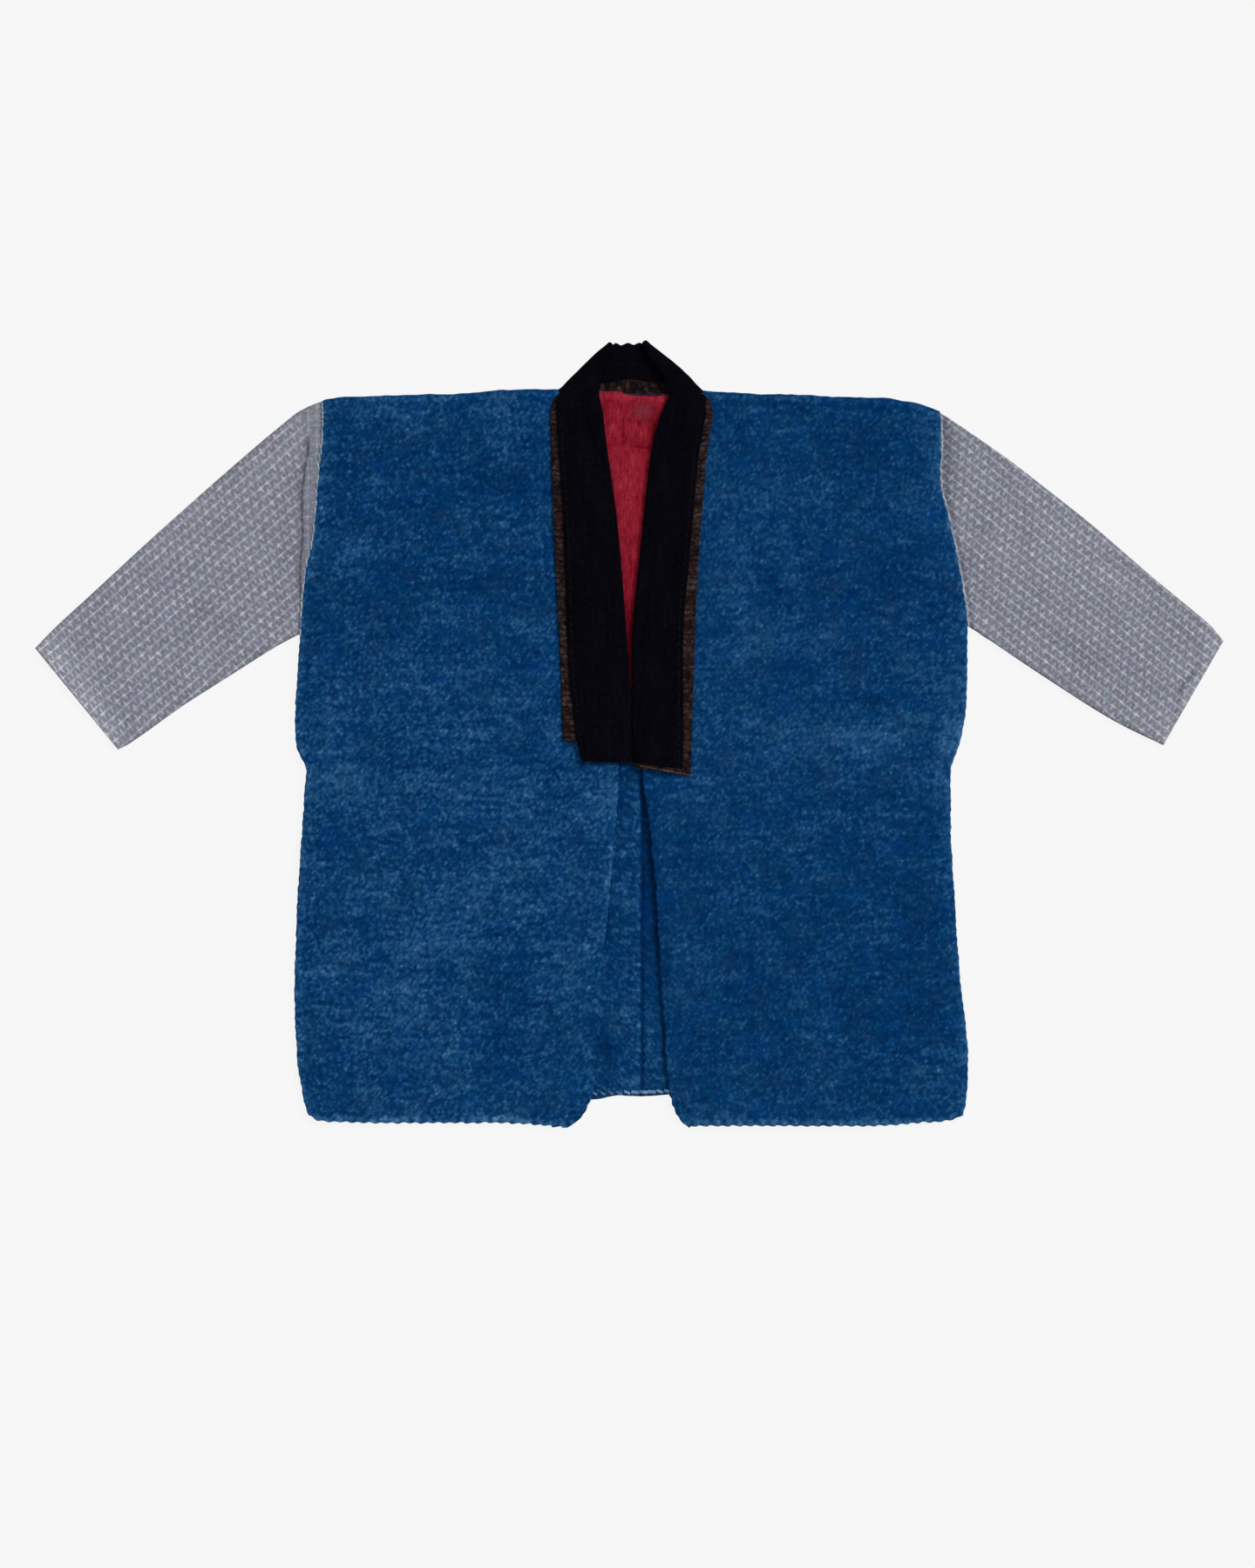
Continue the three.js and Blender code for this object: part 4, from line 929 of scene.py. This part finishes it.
def greyCheck():
    f = Finish("greyCheck")
    square = f.mark("plain").between(0.4, 0.6)
    at = f.mixVector(square, f.uvMap("cloth"), f.uvMap("square"))
    wander = f.noise(at, 45, (1, 1), 2.0, 0.5, 2.0)
    u, v = f.split(at)
    # ribs along the sleeve with knots on them, each row half a step on from the last
    line = (v + wander * 4) / check["linePitch"]
    row = line.math("FLOOR")
    fromLine = abs(line - row - 0.5) * 2
    knot = ((u + wander * 5) / check["knotPitch"] + (row / 2).math("FRACT")).wave()
    ribs = 1 - fromLine.between(0.04, 0.46)
    dashes = ribs * knot.between(0.0, 0.36)
    bars = knot ** 8.0 * (1 - ribs * 0.8)
    tips = (1 - knot) ** 8.0 * fromLine.between(0.25, 0.8)
    hollows = (1 - knot) ** 2.0 * fromLine
    # single threads one way and the other, and wear
    wear = f.noise(at, 7, (1, 1), 3.0, 0.65, 12.0)
    threads = f.noise(at, 2.1, (3, 0.9), 3.0, 0.65, 1.0)
    slubs = f.noise(at, 2.1, (0.9, 3), 3.0, 0.65, 9.0)
    grain = f.spots(at, 2.2, (1, 1), 4.0)
    patches = f.noise(at, 22, (2, 1), 2.0, 0.5, 6.0)
    weave = (ribs * 0.17 + dashes * 0.13) * (0.65 + threads.between(0.32, 0.68) * 0.7)
    crossed = bars * 0.25 + tips * (0.17 + f.mark("net") * 0.14)
    weave = weave + crossed * (0.55 + slubs.between(0.32, 0.68) * 0.9) - hollows * 0.11 - 0.095
    weave = weave * (0.75 + wear.between(0.3, 0.7) * 0.7) * (1 - square * 0.5)
    # the tone mark adds patches and painted shade into the colour
    light = (0.5 + weave + (threads - 0.5) * 0.24 + (slubs - 0.5) * 0.24 + (grain - 0.25) * 0.1
             + (patches - 0.5) * 0.16 + (wear - 0.5) * 0.16 + f.mark("tone") * 0.14)
    shade = f.ramp(light, greyLook["shades"])
    hue = f.noise(at, 5.2, (1.4, 1), 2.0, 0.65, 15.0)
    shade = f.mix(hue.between(0.5, 0.66) * 0.25, shade, colour(*greyLook["warm"]), "SOFT_LIGHT")
    shade = f.mix((1 - hue.between(0.34, 0.5)) * 0.3, shade, colour(*greyLook["cool"]), "SOFT_LIGHT")
    thread = f.node("ShaderNodeTexVoronoi", {"voronoi_dimensions": "2D"}, {"Vector": at, "Scale": 0.3}, 1)
    shade = f.mix(0.08, shade, thread, "SOFT_LIGHT")
    # painted shade in the crease beside the tuck
    shade = f.mix(f.mark("crease") * 0.5, shade, colour(*greyLook["crease"]))
    return f.finished(shade, threads * 0.4 + slubs * 0.4 + dashes * 0.25, greyLook)


napLook = {
    "relief": 0.6, "roughness": 0.95, "specular": 0.02,
    "shades": [(0.35, (2, 1, 5)), (0.5, (6, 5, 11)), (0.64, (11, 9, 16)), (0.85, (24, 21, 31))],
}


def blackNap():
    f = Finish("blackNap")
    at = f.uvMap("cloth")
    pile = f.noise(at, 1.6, (1.6, 1), 2.0, 0.6)
    marks = f.noise(at, 5.5, (1, 1), 2.0, 0.6, 5.0)
    worn = f.noise(at, 24, (2.2, 1), 2.0, 0.55, 3.0)
    lines = f.noise(at, 3.4, (14, 1), 1.0, 0.5, 9.0)
    grains = f.spots(at, 2.8, (1.3, 1), 2.0)
    light = 0.07 + pile * 0.25 + marks * 0.25 + worn * 0.2 + lines * 0.2 + (grains - 0.25) * 0.1
    return f.finished(f.ramp(light, napLook["shades"]), pile * 0.5 + lines * 0.5, napLook)


tickLook = {
    "relief": 0.5, "roughness": 0.93, "specular": 0.04,
    "shades": [(0.1, (11, 6, 8)), (0.35, (25, 17, 18)), (0.55, (44, 33, 33)), (0.8, (72, 58, 55))],
    "warm": (46, 27, 18),
}


def brownTick():
    f = Finish("brownTick")
    at = f.uvMap("cloth")
    u = f.split(at)[0]
    uneven = f.noise(at, 9, (1, 1), 2.0, 0.6)
    ticks = ((u + uneven * 9) / collar["tickPitch"]).wave() * uneven.between(0.3, 0.62)
    threads = f.noise(at, 2.4, (1, 1.8), 2.0, 0.6, 2.0)
    patches = f.noise(at, 14, (1, 1), 2.0, 0.6, 8.0)
    # darker at the back of the neck: painted shade
    light = ticks * 0.3 + (threads - 0.5) * 0.85 + (patches - 0.5) * 0.75 + 0.34 - f.mark("shaded") * 0.13
    warm = f.noise(at, 8, (1, 1), 2.0, 0.5, 12.0).between(0.48, 0.66)
    shade = f.mix(warm * 0.5, f.ramp(light, tickLook["shades"]), colour(*tickLook["warm"]))
    return f.finished(shade, threads + ticks * 0.4, tickLook)


crimsonLook = {
    "relief": 0.4, "roughness": 0.9, "specular": 0.05,
    "shades": [(0.0, (66, 0, 14)), (0.25, (104, 10, 27)), (0.45, (130, 22, 39)), (0.6, (143, 31, 48)),
               (0.8, (158, 50, 64))],
    "mark": (94, 2, 20), "dust": (104, 50, 62),
}


def crimsonCotton():
    f = Finish("crimsonCotton")
    at = f.uvMap("cloth")
    u, v = f.split(at)
    streaks = f.noise(at, 2.6, (1, 4), 3.0, 0.6)
    threads = f.noise(at, 1.6, (1, 1.6), 2.0, 0.6, 5.0)
    patches = f.noise(at, 9, (1, 1.6), 2.0, 0.6, 2.0)
    light = 0.47 + (streaks - 0.5) * 0.6 + (threads - 0.5) * 0.4 + (patches - 0.5) * 0.5
    # the tone mark adds patches and painted shade into the colour
    light = light + f.mark("tone") * 0.12
    shade = f.ramp(light, crimsonLook["shades"])
    # the spots, the painted shade along the creases, and the dust
    stainsAndCreaseShade = [(place, (0.5, 1.3), "mark") for place in lining["marks"]]
    stainsAndCreaseShade.append((lining["dust"], (0.2, 1.1), "dust"))
    for (x, y, halfWide, halfHigh, slope, strength), edge, tint in stainsAndCreaseShade:
        away = f.length(f.join((u - x) / halfWide, (v - y - (u - x) * slope) / halfHigh))
        shade = f.mix((1 - away.between(*edge)) * strength, shade, colour(*crimsonLook[tint]))
    return f.finished(shade, streaks * 0.6 + threads * 0.6, crimsonLook)


threadLook = {"relief": 0.2, "roughness": 0.85, "specular": 0.1}


def threadFinish(name, dark, light):
    f = Finish(name)
    at = f.node("ShaderNodeTexCoord", {}, {}, 3)
    at = f.node("ShaderNodeVectorMath", {"operation": "SCALE"}, {0: at, "Scale": 1000.0})
    fibres = f.noise(at, 1.2, (1, 1), 2.0, 0.6)
    wear = f.noise(at, 9, (1, 1), 1.0, 0.5, 4.0)
    shade = f.ramp(fibres * 0.5 + wear * 0.5, [(0.35, dark), (0.62, light)])
    return f.finished(shade, fibres, threadLook)


# Thread, laid along paths by one node tree

threadInputs = (  # name, kind, start value
    ("Pitch", "NodeSocketFloat", 0.005), ("Length", "NodeSocketFloat", 0.004),
    ("Thickness", "NodeSocketFloat", 0.001), ("Rise", "NodeSocketFloat", 0.001),
    ("Slant", "NodeSocketFloat", 0.5), ("Uneven", "NodeSocketFloat", 0.2),
    ("Seed", "NodeSocketInt", 1), ("Thread", "NodeSocketMaterial", None),
)


def threadTree():
    tree = bpy.data.node_groups.new("threadRow", "GeometryNodeTree")
    tree.interface.new_socket("Path", in_out="INPUT", socket_type="NodeSocketGeometry")
    tree.interface.new_socket("Stitches", in_out="OUTPUT", socket_type="NodeSocketGeometry")
    for name, kind, value in threadInputs:
        socket = tree.interface.new_socket(name, in_out="INPUT", socket_type=kind)
        if value is not None:
            socket.default_value = value
    given = addNode(tree, "NodeGroupInput").outputs

    def add(kind, settings=None, values=None, output=0):
        return addNode(tree, kind, settings, values).outputs[output]

    def maths(operation, a, b):
        return add("ShaderNodeMath", {"operation": operation}, {0: a, 1: b})

    def vector(axis, size):
        return add("ShaderNodeCombineXYZ", {}, {axis: size})

    def random(low, high):
        values = {2: low, 3: high, "Seed": given["Seed"]}
        return add("FunctionNodeRandomValue", {"data_type": "FLOAT"}, values, 1)

    line = add("GeometryNodeMeshToCurve", {}, {"Mesh": given["Path"]})
    line = add("GeometryNodeResampleCurve", {"mode": "LENGTH"}, {"Curve": line, "Length": given["Pitch"]})
    # one stitch is an arch of thread along X
    arch = add("GeometryNodeCurveQuadraticBezier", {}, {
        "Resolution": 5, "Start": vector("X", maths("MULTIPLY", given["Length"], -0.5)),
        "Middle": vector("Z", given["Rise"]), "End": vector("X", maths("MULTIPLY", given["Length"], 0.5))})
    radius = maths("MULTIPLY", given["Thickness"], 0.5)
    ring = add("GeometryNodeCurvePrimitiveCircle", {}, {"Resolution": 5, "Radius": radius})
    stitch = add("GeometryNodeCurveToMesh", {}, {"Curve": arch, "Profile Curve": ring, "Fill Caps": True})
    stitch = add("GeometryNodeSetShadeSmooth", {}, {0: stitch})
    # each lies along the path, leans and varies a little
    tangent = add("GeometryNodeInputTangent")
    aim = add("FunctionNodeAlignRotationToVector", {"axis": "X", "pivot_axis": "Z"}, {"Vector": tangent})
    wobble = random(maths("MULTIPLY", given["Uneven"], -1.0), given["Uneven"])
    lean = add("FunctionNodeEulerToRotation", {}, {0: vector("Z", maths("ADD", given["Slant"], wobble))})
    turned = add("FunctionNodeRotateRotation", {"rotation_space": "LOCAL"}, {0: aim, 1: lean})
    size = random(maths("SUBTRACT", 1.0, given["Uneven"]), maths("ADD", given["Uneven"], 1.0))
    row = add("GeometryNodeInstanceOnPoints", {}, {
        "Points": line, "Instance": stitch, "Rotation": turned, "Scale": size})
    real = add("GeometryNodeRealizeInstances", {}, {0: row})
    dressed = add("GeometryNodeSetMaterial", {}, {0: real, "Material": given["Thread"]})
    addNode(tree, "NodeGroupOutput", {}, {0: dressed})
    return tree


def threadRow(name, path, sizes, finish, tree):  # one row of stitches along a path of points
    line = bpy.data.meshes.new(name + "Path")
    line.from_pydata((np.array(path) * mm).tolist(), [(n, n + 1) for n in range(len(path) - 1)], [])
    maker = addObject(name + "Maker", line)
    modifier = maker.modifiers.new("stitches", "NODES")
    modifier.node_group = tree
    pitch, length, thickness, rise, slant, uneven = sizes
    values = {"Pitch": pitch * mm, "Length": length * mm, "Thickness": thickness * mm, "Rise": rise * mm,
              "Slant": slant, "Uneven": uneven, "Thread": finish}
    for item in tree.interface.items_tree:
        if item.item_type == "SOCKET" and item.in_out == "INPUT" and item.name in values:
            modifier[item.identifier] = values[item.name]
    made = bpy.data.meshes.new_from_object(maker.evaluated_get(bpy.context.evaluated_depsgraph_get()))
    maker.modifiers.remove(modifier)
    bpy.data.objects.remove(maker)
    bpy.data.meshes.remove(line)
    print(name, sum(len(face.vertices) - 2 for face in made.polygons), "triangles")
    return addObject(name, made)


# Making the pieces

stations = collarStations()
bodyRight, bodyLeft = bodyHalf(rightBody), bodyHalf(leftBody)
sleeveRight, sleeveLeft = sleeveTube(rightSleeve), sleeveTube(leftSleeve)
liningPiece = neckLining()
bandPiece = underCollar([s for s in stations if s["run"] > collar["bandStart"]])
coverPiece = collarCover([s for s in stations if s["run"] < stations[-1]["run"] - collar["coverEnd"]])
indigo, grey, nap, brown, crimson = indigoQuilt(), greyCheck(), blackNap(), brownTick(), crimsonCotton()
print("finishes mixed")

# Stitches: the dark and the light of each thread
threadTints = {
    "paleThread": ((94, 114, 136), (162, 174, 187)), "blueThread": ((46, 84, 124), (112, 148, 182)),
    "darkThread": ((10, 9, 16), (24, 22, 32)), "greyThread": ((14, 20, 46), (36, 46, 80)),
    "tanThread": ((40, 30, 32), (80, 66, 62)),
}
# each row's thread and slot, and its pitch, length, thickness, rise, slant in radians and unevenness
stitching = {
    "armhole_stitches_right": ("paleThread", "grey_check", 8.9, 8.2, 2.4, 0.6, 0.12, 0.18),
    "armhole_stitches_left": ("paleThread", "grey_check", 4.1, 6.2, 2.3, 1.0, 0.12, 0.2),
    "back_hem_stitches": ("blueThread", "indigo_quilt", 7.8, 5.8, 3.2, 1.6, -0.4, 0.3),
    "neck_thread": ("greyThread", "crimson_cotton", 4.0, 5.2, 1.1, 0.4, 0.0, 0.1),
    "collar_end_thread": ("tanThread", "black_nap", 4.2, 4.6, 1.8, 0.6, 0.1, 0.2),
    "cover_stitches_right": ("darkThread", "black_nap", 7.4, 4.2, 0.8, 0.4, 0.0, 0.12),
    "cover_stitches_left": ("darkThread", "black_nap", 7.4, 4.2, 0.8, 0.4, 0.0, 0.12),
}
# the armholes' stitches: how far outside the body's side and how high, and from which Y to which
armhole = {"points": 60, "outside": 0.6, "height": 5.0, "right": (106, 339), "left": (114, 330)}
# the cover's stitches: which stations of the collar they follow, and how deep they sit
coverLine = {"right": slice(20, 240, 2), "left": slice(-250, -10, 2), "sunk": 0.1}
# rows that run along X: its range and step, then Y at X 0, slope, sway and height
rowsAcross = {
    "back_hem_stitches": ((-36, 44, 4), -369.6, 0.03, 0.0, 3.0),
    "neck_thread": ((-4, 40, 4), 351.9, -0.02, 0.8, 5.6),
    "collar_end_thread": ((13, 64, 2.5), -30.208, -0.184, 0.0, 12.4),
}


def armholePath(half, sleeve, side):
    low, high = armhole[side]
    y = np.linspace(high, low, armhole["points"])
    x = sideLine(half)(y) + sleeve["outward"] * armhole["outside"]
    return np.column_stack([x, y, 0 * y + armhole["height"]])


def coverPath(side):
    height = [halfStack - coverLine["sunk"]]
    return [collarPoints(s, [s["cover"] + collar["stitchLine"]], height)[0]
            for s in stations[coverLine[side]]]


def pathAcross(span, y, slope, sway, height):  # nearly straight, swaying slowly
    x = np.arange(*span)
    swaying = sway * np.sin((x - 4) / 9)
    return np.column_stack([x, y + slope * x - swaying, 0 * x + height])


paths = {name: pathAcross(*row) for name, row in rowsAcross.items()}
paths["armhole_stitches_right"] = armholePath(rightBody, rightSleeve, "right")
paths["armhole_stitches_left"] = armholePath(leftBody, leftSleeve, "left")
paths["cover_stitches_right"] = coverPath("right")
paths["cover_stitches_left"] = coverPath("left")
tree = threadTree()
threadFinishes = {name: threadFinish(name, *tints) for name, tints in threadTints.items()}
for name, (thread, slot, *sizes) in stitching.items():
    piece = threadRow(name, paths[name], sizes, threadFinishes[thread], tree)
    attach(piece, "root")
print("stitches laid")

# each sheet's node, slot, finish, flat size and area in metres, and the stitches sewn on it
for piece, node, slot, finish, flat, area, sewn in (
        (bodyRight, "body_right", "indigo_quilt", indigo, (0.36, 1.51), 0.49, ["back_hem_stitches"]),
        (bodyLeft, "body_left", "indigo_quilt", indigo, (0.34, 1.51), 0.47, []),
        (sleeveRight, "sleeve_right", "grey_check", grey, (0.42, 0.5), 0.1, ["armhole_stitches_right"]),
        (sleeveLeft, "sleeve_left", "grey_check", grey, (0.4, 0.47), 0.095, ["armhole_stitches_left"]),
        (liningPiece, "neck_lining", "crimson_cotton", crimson, (0.128, 0.302), None, ["neck_thread"]),
        (bandPiece, "under_collar", "brown_cotton", brown, (0.07, 0.95), 0.052, []),
        (coverPiece, "collar_cover", "black_nap", nap, (0.13, 0.92), 0.092,
         ["collar_end_thread", "cover_stitches_right", "cover_stitches_left"])):
    piece.data.materials.append(finish)
    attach(piece, "root")
    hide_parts(node)
print("pieces dressed")

# Surface, light and camera, in metres

studio = {
    "floor": 12.0, "floorDrop": 0.0006, "floorShade": 0.05, "floorGlow": 0.88, "sky": 0.5,
    "sun": 2.3, "sunFrom": (1.0, 0.62, 0.95), "sunSize": 0.35,
    "lens": 85.0, "distance": 3.8287, "centre": (-0.0018, -0.0509),
}
floorMesh = bpy.data.meshes.new("surface")
side = studio["floor"]
corners = [(-side, -side, 0), (side, -side, 0), (side, side, 0), (-side, side, 0)]
floorMesh.from_pydata(corners, [], [(0, 1, 2, 3)])
surface = addObject("surface", floorMesh)
surface.location.z = -studio["floorDrop"]
pale = bpy.data.materials.new("paleSurface")
pale.use_nodes = True
shader = pale.node_tree.nodes["Principled BSDF"]
shader.inputs["Base Color"].default_value = (*[studio["floorShade"]] * 3, 1)
shader.inputs["Roughness"].default_value = 1.0
shader.inputs["Specular IOR Level"].default_value = 0.0
shader.inputs["Emission Color"].default_value = (1, 1, 1, 1)
shader.inputs["Emission Strength"].default_value = studio["floorGlow"]
floorMesh.materials.append(pale)

world = bpy.data.worlds.new("studio")
world.use_nodes = True
world.node_tree.nodes["Background"].inputs["Color"].default_value = (1, 1, 1, 1)
world.node_tree.nodes["Background"].inputs["Strength"].default_value = studio["sky"]
bpy.context.scene.world = world

sunData = bpy.data.lights.new("sun", "SUN")
sunData.energy = studio["sun"]
sunData.angle = studio["sunSize"]
sun = addObject("sun", sunData)
sun.rotation_euler = Vector(studio["sunFrom"]).to_track_quat("Z", "Y").to_euler()

cameraData = bpy.data.cameras.new("camera")
cameraData.lens = studio["lens"]
camera = addObject("camera", cameraData)
camera.location = (*studio["centre"], studio["distance"])
bpy.context.scene.camera = camera
bpy.context.scene.view_settings.view_transform = "Standard"
print("studio set")
